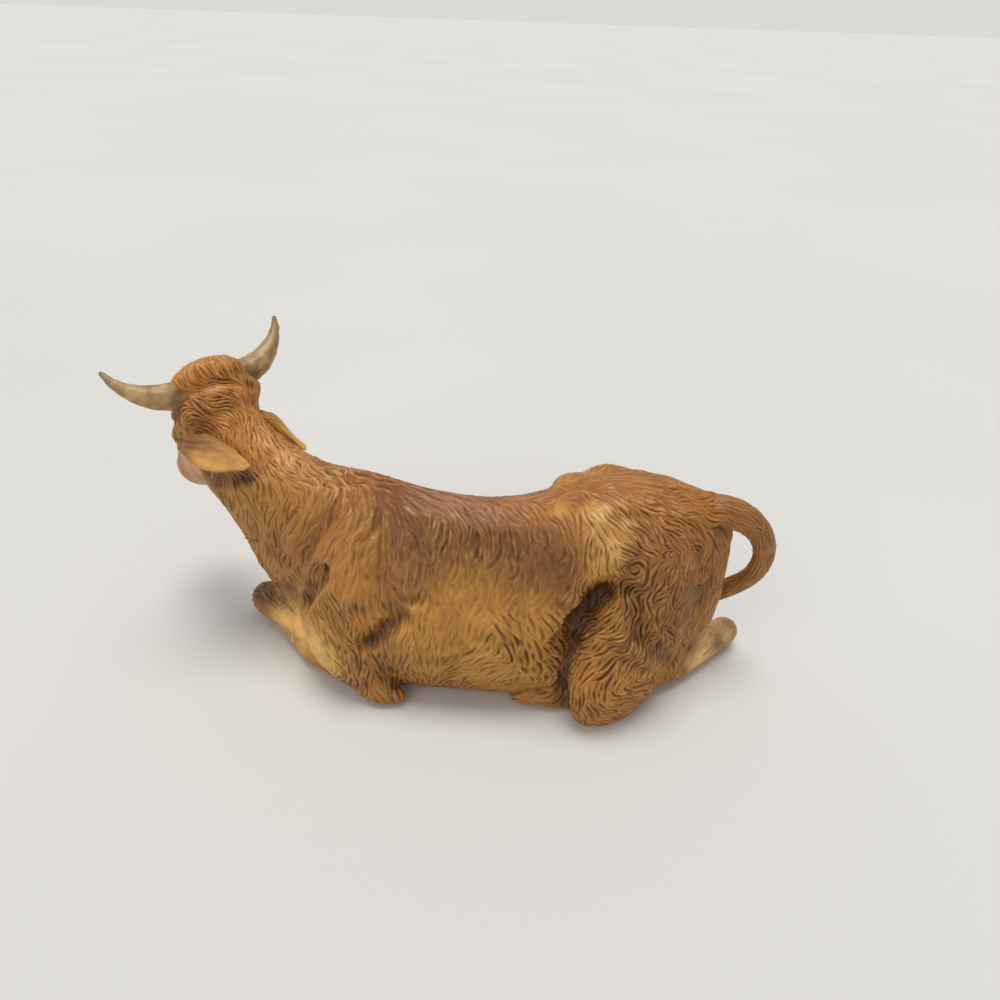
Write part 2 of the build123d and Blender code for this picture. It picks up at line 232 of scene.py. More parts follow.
TOUCHES = (
    # poll roll and the crease behind it
    Touch(SIDE, "172,389 181,381 192,374 206,368 222,365 236,365 249,372", 5.0, 1.5, 1.6, False),
    Touch(SIDE, "175,400 186,393 199,386 216,382 234,382 252,386", 1.9, -1.3, 1.3, False),
    Touch(SIDE, "176,408 186,404", 3.0, -0.5, 2.0, False),
    # cheek behind the eye, hollow under the near ear, jaw
    Touch(SIDE, "205,474 224,480 243,478", 3.6, -2.0, 1.5),
    Touch(SIDE, "196,484 212,488", 4.0, 0.6),
    # brow and eye, from the face side
    Touch(FACE, "458,349 463,345 472,347 480,353", 2.8, 0.9),
    Touch(FACE, "459,355 464,351 472,353 480,359 485,365", 1.3, -0.75, 1.4),
    Touch(FACE, "468,363 474,365", 2.9, 0.9, 1.6),
    Touch(FACE, "461,359 466,360 473,361 480,366", 0.9, -0.6, 1.2),
    Touch(FACE, "461,364 466,370 473,372 481,369", 1.0, -0.7, 1.2),
    Touch(FACE, "464,375 472,377 480,374", 1.6, 0.35),
    Touch(FACE, "468,342 476,347 486,343", 2.4, -1.2, 1.5),
    # nostril, lips and chin
    Touch(FACE, "424.6,387.5 426.2,390.5", 1.4, -1.5, 1.2),
    Touch(FACE, "423,384 428,384 430,389", 1.5, 0.4),
    Touch(FACE, "431,399 438,403 447,404 455,402", 0.9, -0.35, 1.2),
    Touch(FACE, "452,384 463,392 478,398", 5.0, -0.35),
    Touch(FACE, "486,378 492,390 490,402", 4.5, 0.5),
    # throat folds and the neck's long oblique folds
    Touch(FACE, "500,408 512,440 520,470", 2.2, -0.6),
    Touch(FACE, "509,400 522,430 530,460", 2.6, 0.6),
    Touch(FACE, "560,392 545,425 533,455", 3.0, -0.6),
    Touch(SIDE, "345,500 322,528 306,556", 4.0, -0.7),
    Touch(SIDE, "330,492 305,520 290,548", 4.0, 0.6),
    Touch(SIDE, "268,492 272,530 286,560", 3.4, -0.6),
    Touch(SIDE, "318,470 327,478 345,483", 3.4, -0.5),
    Touch(SIDE, "346,486 360,486 374,487", 3.4, 0.6),
    # shoulder: the blade's edge and its two carved arcs
    Touch(SIDE, "378,512 378,524 372,534 361,541", 1.5, -0.9, 1.4),
    Touch(SIDE, "370,518 368,530 360,535", 2.2, 0.5),
    Touch(SIDE, "359,556 357,566 361,576 366,581", 1.4, -0.8, 1.4),
    Touch(SIDE, "384,500 392,540 390,590 380,620", 5.0, -0.8),
    Touch(SIDE, "352,600 345,560 352,520", 8.0, 0.8),
    Touch(SIDE, "352,606 362,612", 3.0, -0.8),
    Touch(SIDE, "335,560 328,566", 2.0, -0.9, 1.5),
    # chest pit over the forearm, armpit and elbow
    Touch(SIDE, "320,574 310,588 303,602", 4.0, -3.6, 1.2),
    Touch(SIDE, "368,644 380,636 390,627 402,620", 3.6, -3.0, 1.2),
    Touch(SIDE, "410,604 420,602", 2.2, -0.7),
    Touch(SIDE, "336,600 346,640 366,672", 7.0, 0.6),
    Touch(FACE, "586,457 596,455", 2.4, -1.2, 1.5),
    Touch(FACE, "664,458 672,450 684,446", 2.6, -1.2, 1.5),
    # flank: the cleft under the loin's flap, and the flap's lip
    Touch(SIDE, "606,592 594,599 580,607 572,616", 4.2, -2.4, 1.2),
    Touch(SIDE, "590,606 580,620 574,634", 4.0, -1.6, 1.4),
    Touch(SIDE, "572,640 567,660 562,682 560,700", 3.0, -2.0, 1.3),
    Touch(SIDE, "612,580 598,590 582,598 566,603", 2.6, 1.2, 1.5),
    Touch(SIDE, "604,560 600,576", 4.0, 0.8),
    Touch(SIDE, "560,606 570,604", 1.8, -0.9, 1.4),
    # hip bones, the ridge to them and the dip behind
    Touch(SIDE, "600,516 611,536 614,552", 6.0, 0.9),
    Touch(SIDE, "634,545 632,575 622,590", 4.5, -0.9),
    Touch(SIDE, "636,508 652,514", 5.0, -0.6),
    # spine ridge
    Touch(SIDE, "520,493 570,486 600,478", 5.0, 0.5),
    # haunch: valley between stifle and thigh, stifle forms, rear folds
    Touch(SIDE, "628,592 634,612 640,636 652,652 672,656", 4.6, -1.7),
    Touch(SIDE, "612,612 618,626 616,640", 6.5, 1.1),
    Touch(SIDE, "611,645 622,648 630,642", 1.8, -1.0, 1.4),
    Touch(SIDE, "586,700 600,690 618,690", 9.0, 0.8),
    Touch(SIDE, "620,660 636,668 650,672", 2.6, -0.9),
    Touch(SIDE, "660,556 672,590 660,622", 9.0, 0.7),
    Touch(SIDE, "655,640 664,650", 2.6, -1.2, 1.4),
    Touch(SIDE, "698,604 704,590 712,580", 3.0, -0.9),
    Touch(SIDE, "718,532 728,532", 3.0, -0.9),
    Touch(SIDE, "700,628 690,650 684,668", 3.2, -1.2),
    Touch(SIDE, "568,690 566,706", 3.0, -1.4),
    # single hooked strokes in the flank
    Touch(SIDE, "475,534 474,546 476,556 480,560", 1.1, -0.7, 1.2),
    Touch(SIDE, "504,536 508,550 513,559 521,561", 1.2, -0.9, 1.2),
    Touch(SIDE, "530,574 532,586 538,594", 1.1, -0.7, 1.2),
    Touch(SIDE, "449,574 448,584 454,590", 1.1, -0.5, 1.2),
    Touch(SIDE, "414,546 416,554 421,557", 1.1, -0.5, 1.2),
    Touch(SIDE, "543,532 546,544 544,552", 1.1, -0.5, 1.2),
    Touch(SIDE, "428,598 434,606 440,606", 1.1, -0.5, 1.2),
    Touch(SIDE, "562,552 570,560 566,570", 1.1, -0.5, 1.2),
    # belly line and the folded feet
    Touch(SIDE, "478,642 492,640", 2.0, -1.0, 1.4),
    Touch(SIDE, "446,662 466,656 490,650 520,644", 1.8, -0.8, 1.4),
    Touch(SIDE, "528,672 545,664 560,660", 1.8, -0.8, 1.4),
    Touch(SIDE, "524,694 540,690", 1.6, -0.6, 1.4),
    # knee joint of the near foreleg
    Touch(SIDE, "272,600 278,606", 2.4, -0.5),
)

# places in the side view, with their reach, that get dry brushing and painted highlights where the light
# catches the back, the hip and the head
DRY_AND_HIGHLIGHT = (
    "330,478,7 352,486,8 400,494,8 440,501,8 480,504,8 520,502,8 556,500,7 600,484,7 600,518,6 614,545,6 "
    "630,522,6 660,504,7 228,384,5 262,436,4 286,464,4"
)

# knobs to smooth in the side view: reach, and 1 where the other side gets it too
SOFTENED = (
    "180,408,6.0,0 196,403,6.5,0 214,397,6.5,0 234,392,6.5,0 252,388,6.0,0 612,548,6.5,1 606,532,6.0,1 "
    "570,478,8.0,0"
)

COMBS = (
    # poll roll, transverse
    Comb(SIDE, 1.5, 7.5, 0.62, 20, 0.12,
         "180,384,62 192,375,60 205,369,60 220,364,56 234,363,60 247,370,66", False),
    # back of the head
    Comb(SIDE, 0.92, 7.5, 0.40, 10, 0.35,
         "182,398,-24 196,391,-22 210,386,-12 226,385,8 242,388,28 188,410,-4 204,402,-2 220,400,4 "
         "236,404,26 250,410,44 192,424,6 208,420,8 224,420,22 238,424,70 254,428,78 262,420,60", False),
    Comb(SIDE, 1.1, 5.0, 0.45, 20, 0.3,
         "232,436,98 246,446,66 262,450,62 276,462,40 288,470,42 300,462,30 270,436,70"),
    # nape to withers
    Comb(SIDE, 1.5, 8.0, 0.26, 14, 0.3, "285,484,52 300,478,28 318,470,20 336,478,16 352,478,14 372,484,16"),
    Comb(SIDE, 2.1, 11.0, 0.20, -12, 0.3,
         "330,496,108 318,518,116 344,514,112 300,540,112 322,548,112 352,500,100"),
    # throat and brisket
    Comb(SIDE, 1.5, 8.0, 0.32, 16, 0.35,
         "246,486,72 256,506,74 268,500,84 284,508,96 262,532,68 276,540,74 292,562,78 282,574,60 "
         "300,580,70 314,566,96"),
    Comb(FACE, 1.25, 7.5, 0.38, 18, 0.4,
         "498,412,66 508,430,76 514,452,84 520,476,88 530,420,100 536,440,116 526,462,98 548,400,108 "
         "556,424,120 544,456,124 538,478,96 566,404,114"),
    Comb(FACE, 1.0, 6.0, 0.38, 12, 0.35,
         "490,304,96 480,312,104 498,296,84 498,330,40 512,330,42 506,346,34 524,344,46 488,352,60 "
         "496,366,62"),
    Comb(FACE, 1.3, 5.5, 0.40, 16, 0.3, "545,356,54 562,366,84 576,368,96 592,366,60 610,366,50"),
    Comb(FACE, 2.0, 12.0, 0.22, 8, 0.25,
         "600,392,112 584,420,120 620,410,120 568,446,126 600,440,124 640,400,104"),
    # knee cap
    Comb(SIDE, 1.1, 4.0, 0.36, 10, 0.3, "254,591,20 266,592,24 280,596,30"),
    # smooth face
    Comb(FACE, 2.6, 4.0, 0.03, 0, 0.2,
         "440,380,190 450,395,180 462,382,170 478,390,130 492,394,110 458,368,190 446,372,190 430,394,180 "
         "470,402,170"),
    # shoulder and forearm
    Comb(SIDE, 2.4, 8.0, 0.20, 20, 0.3,
         "374,500,84 366,540,118 384,556,90 354,586,96 340,566,110 372,588,84 396,520,76"),
    Comb(SIDE, 1.35, 12.0, 0.42, -14, 0.35,
         "326,600,74 338,612,66 350,630,66 344,650,72 362,650,62 366,676,74 380,690,70 384,664,84 "
         "356,690,80"),
    Comb(SIDE, 2.4, 6.0, 0.05, 0, 0.2, "276,614,20 296,628,30 308,640,40 262,600,60"),
    Comb(SIDE, 1.5, 7.0, 0.34, 20, 0.3, "400,606,66 416,606,120 410,630,100 424,650,96 404,656,90"),
    # top of the back, and the strokes that hang from it
    Comb(SIDE, 1.7, 10.0, 0.12, 12, 0.2,
         "400,492,20 440,500,18 480,500,14 520,497,10 560,490,8 604,480,14 650,486,14"),
    Comb(SIDE, 1.35, 11.0, 0.22, -40, 0.3, "460,518,56 490,516,60 520,514,52 548,512,50 576,508,50"),
    Comb(SIDE, 1.9, 10.0, 0.24, -95, 0.3,
         "440,540,88 470,538,84 502,540,80 530,534,70 556,530,58 580,528,62"),
    # middle of the flank
    Comb(SIDE, 2.6, 9.0, 0.13, -60, 0.35,
         "410,556,92 436,576,94 462,582,96 494,580,96 530,566,84 558,560,96 580,560,104 560,586,112"),
    Comb(SIDE, 2.2, 9.0, 0.15, -40, 0.4,
         "440,612,92 470,612,98 500,604,96 524,604,106 545,600,112 454,636,98 480,632,112"),
    # fringes over the belly
    Comb(SIDE, 1.8, 8.0, 0.72, -90, 0.2,
         "506,622,48 512,640,46 548,624,40 550,640,40 548,656,38 520,654,56 566,618,30 532,668,50"),
    Comb(SIDE, 1.7, 7.0, 0.30, 10, 0.3, "470,668,160 500,664,160 530,690,170 510,696,175"),
    # flap and hip
    Comb(SIDE, 1.15, 11.0, 0.42, 8, 0.25,
         "592,566,96 602,560,92 611,562,90 604,582,96 590,585,104 576,584,112"),
    Comb(SIDE, 1.1, 9.0, 0.36, 16, 0.3,
         "588,506,46 598,516,54 614,506,46 626,520,52 634,536,60 600,534,74 622,556,84"),
    # rump
    Comb(SIDE, 1.25, 9.0, 0.34, 12, 0.35,
         "640,500,24 664,504,20 690,506,14 716,506,12 736,506,16 650,522,36 676,522,32 702,522,28 "
         "724,522,30 744,516,30"),
    # thigh, waved and curled
    Comb(SIDE, 1.3, 9.0, 0.64, 40, 0.55,
         "642,540,40 664,540,58 684,540,62 704,546,76 668,566,92 690,566,96 712,566,102 664,594,112 "
         "684,596,108 704,604,112 644,576,104 636,600,112 650,612,108 680,622,116"),
    Comb(SIDE, 1.3, 9.0, 0.64, -50, 0.45,
         "606,606,134 600,622,142 598,640,146 620,612,112 630,628,104 622,642,150 592,656,150 646,640,96 "
         "656,662,60 668,640,100 636,656,130"),
    Comb(SIDE, 1.4, 10.0, 0.66, -60, 0.25,
         "584,668,116 576,684,104 578,700,84 590,714,44 606,708,10 624,700,-16 642,686,-24 604,672,130 "
         "622,676,110 596,690,90"),
    Comb(SIDE, 1.3, 6.0, 0.42, 30, 0.3, "640,672,118 656,668,116 668,662,112 678,650,110"),
    Comb(SIDE, 1.5, 6.5, 0.18, 0, 0.2, "700,650,118 714,640,130 728,624,120 692,664,120"),
    Comb(SIDE, 1.8, 7.0, 0.22, 10, 0.3, "722,544,88 728,560,96 722,576,108 714,590,118"),
)

TAIL_COMBS = (
    Comb(SIDE, 0.95, 9.0, 0.26, 6, 0.25,
         "712,512,12 735,510,14 752,520,40 766,540,76 770,560,104 758,580,132 738,592,152 "
         "718,602,160 745,575,128", False),
)

# round swirls of the thigh in the side view, with their reach
CURLS = "636,566,7 672,556,4 697,594,4"

PAINTS = (
    # broad grounds
    Brush(SIDE, "884a1c", 0.90, "400,492,15 450,500,14 500,498,13 350,486,12 330,500,10"),
    Brush(SIDE, "a3672f", 0.80, "550,494,12 600,484,12 528,505,9"),
    Brush(SIDE, "683a16", 0.80,
          "410,540,13 440,552,10 476,548,11 510,552,8 546,556,9 384,560,9 560,576,8 478,570,7"),
    Brush(SIDE, "75441f", 0.50, "470,524,5 500,526,4 536,530,6 360,530,8 330,515,6"),
    Brush(SIDE, "c08a3e", 0.80,
          "450,620,13 500,630,12 470,600,10 540,640,10 520,680,10 480,665,10 430,640,12"),
    Brush(SIDE, "b87a38", 0.60, "600,660,14 620,690,14 590,700,12"),
    Brush(SIDE, "83501f", 0.70, "668,585,12 650,604,11 640,570,8 692,600,12 706,566,9 640,640,9 676,545,7"),
    Brush(SIDE, "a5662b", 0.60, "680,515,14 720,525,12 640,500,10"),
    Brush(SIDE, "c98540", 0.88,
          "205,395,9 225,410,9 245,420,9 262,446,9 290,468,10 210,372,9 190,384,8 238,372,8"),
    Brush(SIDE, "be8444", 0.60, "300,500,12 330,520,12 300,545,12 350,560,12 345,600,10"),
    Brush(SIDE, "c39048", 0.60, "244,500,8 256,530,8 285,560,8 300,590,8"),
    Brush(SIDE, "fbcb7c", 0.95, "300,632,9 282,619,8 314,646,8 326,660,6"),
    Brush(SIDE, "fad29a", 0.90, "712,646,7 700,658,6 724,634,6"),
    Brush(SIDE, "6e4a30", 0.80, "728,622,4 734,618,3"),
    Brush(SIDE, "55341d", 0.85, "255,592,5 262,597,4 272,594,4 284,598,3.4"),
    Brush(FACE, "c8933c", 0.95, "440,388,13 430,380,9 455,375,9 455,400,10"),
    Brush(FACE, "c08a44", 0.70, "480,390,10 470,378,8 495,395,8"),
    Brush(FACE, "a66c34", 0.60, "600,400,14 560,430,12 600,440,12"),
    Brush(FACE, "8a5a3c", 0.80, "424,388,2.2 423,384,2.0"),
    # dry brushing along the back and on the hip, with painted highlights where the light catches the spine
    # and the hip bone
    Brush(SIDE, "b8794c", 0.30,
          "440,507,6 470,512,6 500,512,6 530,516,6 360,490,6 345,488,5 625,505,7 640,512,5 320,476,5"),
    Brush(SIDE, "e2a95a", 0.62, "560,510,4 590,512,4 600,540,5 606,562,4.5 613,548,4.5 604,576,4"),
    Brush(SIDE, "f6dca0", 0.50, "613,545,2.4 600,516,2.0 627,526,2.0"),
    # painted shade on the side of the muzzle, darker than its face
    Brush(SIDE, "a8641c", 0.90, "182,466,4.5 190,474,4.5 177,452,3.4 197,483,4"),
    # painted shade in the recesses: the flank cleft and its crease, the chest pit, the armpits and elbows,
    # under the near ear, the haunch folds and the brow's crease; the eye's slit and the nostril are dark
    # paint with painted shade over it
    Brush(SIDE, "4a200c", 0.88, "598,598,4.4 588,606,5.0 580,618,4.6 606,592,3.4 584,630,4.2 577,640,3.4"),
    Brush(SIDE, "46241a", 0.75, "568,656,2.6 564,680,3.2 566,700,3.4"),
    Brush(SIDE, "3a1a18", 0.70, "306,594,3.0 311,584,2.4 302,604,2.6 326,566,1.6"),
    Brush(SIDE, "3a1a14", 0.70, "374,641,3.0 384,634,2.8 394,625,2.4 354,607,1.4 388,668,4.4 397,684,4.4"),
    Brush(SIDE, "4a2616", 0.75, "218,478,3.4 236,479,3.0 208,473,2.6 246,477,2.6"),
    Brush(SIDE, "552e16", 0.60, "640,634,3.4 652,652,3.6 664,652,3.0 628,606,3.0 636,590,3.0 622,647,2.2"),
    Brush(SIDE, "552e16", 0.55, "700,600,3.0 706,588,2.6 722,532,3.6 690,645,4.0 562,606,2.6"),
    Brush(FACE, "4a2a1c", 0.85, "474,345,2.6 484,342,2.2"),
    Brush(FACE, "40241a", 0.80, "466,362,1.1 474,366,1.0 463,359,1.0 480,366,0.9"),
    Brush(FACE, "40241a", 0.90, "425.2,389,1.1"),
    Brush(FACE, "4a2616", 0.70, "590,457,2.6 670,454,3.0 560,472,4.0 540,476,3.0"),
)


# Sculpting


def ripple(points: np.ndarray, span: float, seed: int, waves: int = 10) -> np.ndarray:
    """Smooth seeded noise in about -1 to 1.

    Args:
        points: Places in millimetres.
        span: Size of its swells in millimetres.
        seed: Which of the noises this is.
        waves: How many plane waves are added.

    Returns:
        One value for each place.
    """
    rng = np.random.default_rng(seed)
    way = rng.normal(size=(waves, 3))
    way = unit(way) * (2 * math.pi / span) * rng.uniform(0.6, 1.4, waves)[:, None]
    return np.sin(points @ way.T + rng.uniform(0, 2 * math.pi, waves)).sum(1) / math.sqrt(waves)


def reach_to(points: np.ndarray, line: np.ndarray) -> np.ndarray:
    """Distance of each point to a broken line."""
    if len(line) == 1:
        return np.linalg.norm(points - line[0], axis=1)
    best = np.full(len(points), np.inf)
    for start, end in zip(line[:-1], line[1:]):
        run = end - start
        share = np.clip((points - start) @ run / max(float(run @ run), 1e-9), 0, 1)
        best = np.minimum(best, np.linalg.norm(points - start - share[:, None] * run, axis=1))
    return best


def sides_of(faces: np.ndarray) -> np.ndarray:
    """Both ends of each side of four-cornered faces."""
    return np.vstack([faces[:, [k, (k + 1) % 4]] for k in range(4)])


def picked(faces: np.ndarray, count: int) -> tuple[np.ndarray, np.ndarray]:
    """The points that some faces use, and the faces renumbered to them.

    Args:
        faces: The faces, as numbers of points.
        count: How many points there are in all.

    Returns:
        The used points' numbers and the renumbered faces.
    """
    used = np.unique(faces)
    renumber = np.zeros(count, np.int64)
    renumber[used] = np.arange(len(used))
    return used, renumber[faces]


def finder_of(points: Iterable[Sequence[float]]) -> KDTree:
    """A balanced search tree over some points."""
    finder = KDTree(len(points))
    for k, point in enumerate(points):
        finder.insert(point, k)
    finder.balance()
    return finder


def nearest_of(stations: np.ndarray, points: np.ndarray) -> np.ndarray:
    """Number of the nearest station for each point."""
    finder = finder_of(stations)
    return np.array([finder.find(point)[1] for point in points])


@dataclass
class Clay:
    """A casting's surface as arrays in the animal's millimetres, worked like clay."""

    points: np.ndarray
    faces: np.ndarray
    tree: Optional[BVHTree] = None

    def edges(self) -> np.ndarray:
        """Every edge once, as pairs of point numbers."""
        pairs = np.sort(sides_of(self.faces), axis=1).astype(np.int64)
        keys = np.unique(pairs[:, 0] * len(self.points) + pairs[:, 1])
        return np.column_stack((keys // len(self.points), keys % len(self.points)))

    def crosses(self) -> np.ndarray:
        """Each face's outward normal, as long as twice its area."""
        corner = self.points[self.faces]
        return np.cross(corner[:, 2] - corner[:, 0], corner[:, 3] - corner[:, 1])

    def normals(self) -> np.ndarray:
        """Outward unit normal at every point."""
        face = self.crosses()
        total = np.zeros_like(self.points)
        for k in range(4):
            for axis in range(3):
                total[:, axis] += np.bincount(self.faces[:, k], face[:, axis], len(self.points))
        return unit(total)

    def relaxed(self, passes: int, edges: np.ndarray, amount: float = 0.5) -> np.ndarray:
        """Where the points would lie after some passes of averaging.

        Args:
            passes: How many passes.
            edges: The edges, as edges() gives them.
            amount: How far a point goes to its neighbours' mean in one pass.

        Returns:
            The new places; the clay isn't changed.
        """
        count = np.bincount(edges.ravel(), minlength=len(self.points))[:, None]
        places = self.points.copy()
        for _ in range(passes):
            total = np.empty_like(places)
            for axis in range(3):
                total[:, axis] = np.bincount(edges[:, 0], places[edges[:, 1], axis], len(places))
                total[:, axis] += np.bincount(edges[:, 1], places[edges[:, 0], axis], len(places))
            places += (total / count - places) * amount
        return places

    def smooth(self, passes: int) -> None:
        """Average the points with their neighbours."""
        self.points = self.relaxed(passes, self.edges())

    def hollow(self, passes: int, edges: np.ndarray, normals: np.ndarray) -> np.ndarray:
        """How far each point lies under the surface that some passes of averaging would leave."""
        return ((self.relaxed(passes, edges) - self.points) * normals).sum(1)

    def grounded(self) -> None:
        """Keep the points from going below the table."""
        self.points[:, 2] = np.maximum(self.points[:, 2], 0.0)

    def open_folds(self, rounds: int = 4, passes: int = 6, least: float = 0.35) -> int:
        """Relax the places where strokes meet and a face has turned over.

        Args:
            rounds: How often the faces are looked at and relaxed.
            passes: Passes of averaging in each round.
            least: A face under this cosine to its corners' mean normal counts as turned over.

        Returns:
            How many faces had turned over at first.
        """
        edges, first = self.edges(), 0
        for _ in range(rounds):
            mean = self.normals()[self.faces].mean(1)
            over = (unit(self.crosses()) * mean).sum(1) < least
            first = first or int(over.sum())
            near = np.zeros(len(self.points), bool)
            near[self.faces[over]] = True
            near[edges[near[edges].any(1)].ravel()] = True
            self.points[near] = self.relaxed(passes, edges)[near]
        return first

    def settle(self) -> None:
        """Make the search tree again after the points have moved."""
        self.tree = BVHTree.FromPolygons(self.points.tolist(), self.faces.tolist())

    def hit(self, view: Station, x: float, y: float) -> Optional[tuple[np.ndarray, np.ndarray]]:
        """Where the photograph's ray meets the clay: place and normal, or None."""
        start, way = LENSES[view].ray(x, y)
        place, normal, _, _ = self.tree.ray_cast(Vector(start), Vector(way))
        return None if place is None else (np.array(place), np.array(normal))

    def heading(
        self, view: Station, x: float, y: float, turn: float, ahead: float = 4.0, steep: float = 0.05
    ) -> Optional[tuple[np.ndarray, ...]]:
        """A place with the surface direction that the photograph shows there.

        Args:
            view: The station.
            x: Pixels from the left.
            y: Pixels from the top.
            turn: Heading on the photograph in degrees, 0 to the right and 90 down.
            ahead: How many pixels ahead the direction is read.
            steep: A ray that meets the surface at less than this sine gives none.

        Returns:
            Place, normal and unit direction, or None where the ray misses.
        """
        found = self.hit(view, x, y)
        if found is None:
            return None
        place, normal = found
        angle = math.radians(turn)
        start, way = LENSES[view].ray(x + ahead * math.cos(angle), y + ahead * math.sin(angle))
        down = float(way @ normal)
        if abs(down) < steep:
            return None
        return place, normal, unit(start + way * float((place - start) @ normal) / down - place)

    def nearest(self, place: np.ndarray) -> tuple[np.ndarray, np.ndarray]:
        """The nearest place on the clay, and its normal."""
        found, normal, _, _ = self.tree.find_nearest(Vector(place))
        return np.array(found), np.array(normal)

    def divided(self) -> "Clay":
        """The clay after one Catmull-Clark division."""
        block = new_object("division", mesh_of(self.points, self.faces))
        only(block)
        level = block.modifiers.new("finer", "SUBSURF")
        level.levels = level.render_levels = 1
        bpy.ops.object.modifier_apply(modifier=level.name)
        finer = Clay(*arrays_of(block.data))
        bpy.data.objects.remove(block)
        return finer


def mesh_of(points: np.ndarray, faces: Iterable[Sequence[int]], name: str = "mesh") -> bpy.types.Mesh:
    """A mesh from places and faces."""
    mesh = bpy.data.meshes.new(name)
    mesh.from_pydata(np.asarray(points).tolist(), [], [list(map(int, f)) for f in faces])
    mesh.update()
    return mesh


def arrays_of(mesh: bpy.types.Mesh) -> tuple[np.ndarray, np.ndarray]:
    """Places and four-cornered faces of a mesh."""
    points = np.empty(len(mesh.vertices) * 3)
    mesh.vertices.foreach_get("co", points)
    corners = np.empty(len(mesh.loops), np.int64)
    mesh.loops.foreach_get("vertex_index", corners)
    return points.reshape(-1, 3), corners.reshape(-1, 4)


def new_object(name: str, mesh: bpy.types.Mesh) -> bpy.types.Object:
    """An object in the scene for a mesh."""
    made = bpy.data.objects.new(name, mesh)
    bpy.context.scene.collection.objects.link(made)
    return made


def only(target: bpy.types.Object) -> None:
    """Select one object alone and make it active."""
    bpy.ops.object.select_all(action="DESELECT")
    target.select_set(True)
    bpy.context.view_layer.objects.active = target


def largest_island(points: np.ndarray, faces: np.ndarray) -> Clay:
    """Keep the largest connected surface, which drops sealed inner cavities."""
    label = np.arange(len(points))
    pairs = sides_of(faces)
    while True:
        low = np.minimum(label[pairs[:, 0]], label[pairs[:, 1]])
        fresh = label.copy()
        np.minimum.at(fresh, pairs[:, 0], low)
        np.minimum.at(fresh, pairs[:, 1], low)
        fresh = fresh[fresh]
        fresh = fresh[fresh]
        if np.array_equal(fresh, label):
            break
        label = fresh
    kept_label = np.bincount(label).argmax()
    used, kept = picked(faces[label[faces[:, 0]] == kept_label], len(points))
    return Clay(points[used], kept)


@dataclass
class Foundry:
    """Takes merged copies of the CAD solids and fuses them into one skin."""

    yard: Yard
    nodes: dict

    def copy(self, node: str) -> bmesh.types.BMesh:
        """A merged copy of a node in the animal's millimetres."""
        shell = bmesh.new()
        shell.from_mesh(self.nodes[node].data)
        bmesh.ops.remove_doubles(shell, verts=shell.verts, dist=1e-6)
        for vert in shell.verts:
            vert.co = Vector(self.yard.inward(np.array(vert.co)))
        return shell

    def plug(self, guest: str, host: str, near: float = 0.3, swell: float = 1.06) -> bmesh.types.BMesh:
        """A hull of the part of a guest that sits inside its host, to close the socket.

        Args:
            guest: The node that is seated.
            host: The node that carries it.
            near: How close to the host's wall a seated point lies, in millimetres.
            swell: How much larger the hull is made.

        Returns:
            The hull.
        """
        outer, inner = self.copy(host), self.copy(guest)
        wall = BVHTree.FromBMesh(outer)
        seated = [v.co.copy() for v in inner.verts if wall.find_nearest(v.co)[3] < near]
        middle = sum(seated, Vector()) / len(seated)
        hull = bmesh.new()
        for place in seated:
            hull.verts.new(middle + (place - middle) * swell)
        bmesh.ops.convex_hull(hull, input=hull.verts)
        outer.free()
        inner.free()
        return hull

    def lid(self, wider: float = 1.02, thicker: float = 0.6) -> bmesh.types.BMesh:
        """A hull of the base cover, a little larger, that closes the underside."""
        hull = self.copy("base_cover")
        bmesh.ops.convex_hull(hull, input=hull.verts)
        middle = sum((v.co for v in hull.verts), Vector()) / len(hull.verts)
        for vert in hull.verts:
            vert.co = Vector((*(middle.xy + (vert.co.xy - middle.xy) * wider), max(vert.co.z, 0.0)))
            vert.co.z = 0.0 if vert.co.z < middle.z else vert.co.z + thicker
        return hull

    def cast(self, shells: list, voxel: float) -> Clay:
        """Fuse shells into one skin of even four-cornered faces.

        Args:
            shells: The bmesh shells, which are used up.
            voxel: Size of a face in millimetres.

        Returns:
            The clay.
        """
        points, faces = [], []
        for shell in shells:
            shell.verts.ensure_lookup_table()
            start = len(points)
            points += [tuple(v.co) for v in shell.verts]
            faces += [[start + v.index for v in f.verts] for f in shell.faces]
            shell.free()
        block = new_object("fused", mesh_of(np.array(points), faces))
        only(block)
        block.data.remesh_voxel_size = voxel
        block.data.use_remesh_fix_poles = False
        bpy.ops.object.voxel_remesh()
        clay = largest_island(*arrays_of(block.data))
        bpy.data.objects.remove(block)
        return clay


@dataclass
class Halves:
    """Finds the animal's other side, across the turned head's middle plane or the spine's line."""

    middle: tuple[float, float] = (-111.4, 13.2)
    turn: float = 43.0
    head_end: float = -94.0
    head_foot: float = 46.0

    def twin(self, points: np.ndarray) -> np.ndarray:
        """Places on the other side, all across the head's plane where the first lies on the head."""
        if points[0, 0] < self.head_end and points[0, 2] > self.head_foot:
            angle = math.radians(self.turn)
            across = np.array((math.sin(angle), math.cos(angle), 0.0))
            return points - 2 * ((points - (*self.middle, 0.0)) @ across)[:, None] * across
        turned = points.copy()
        turned[:, 1] = 2 * np.interp(points[:, 0], SPINE_X, SPINE_Y) - points[:, 1]
        return turned


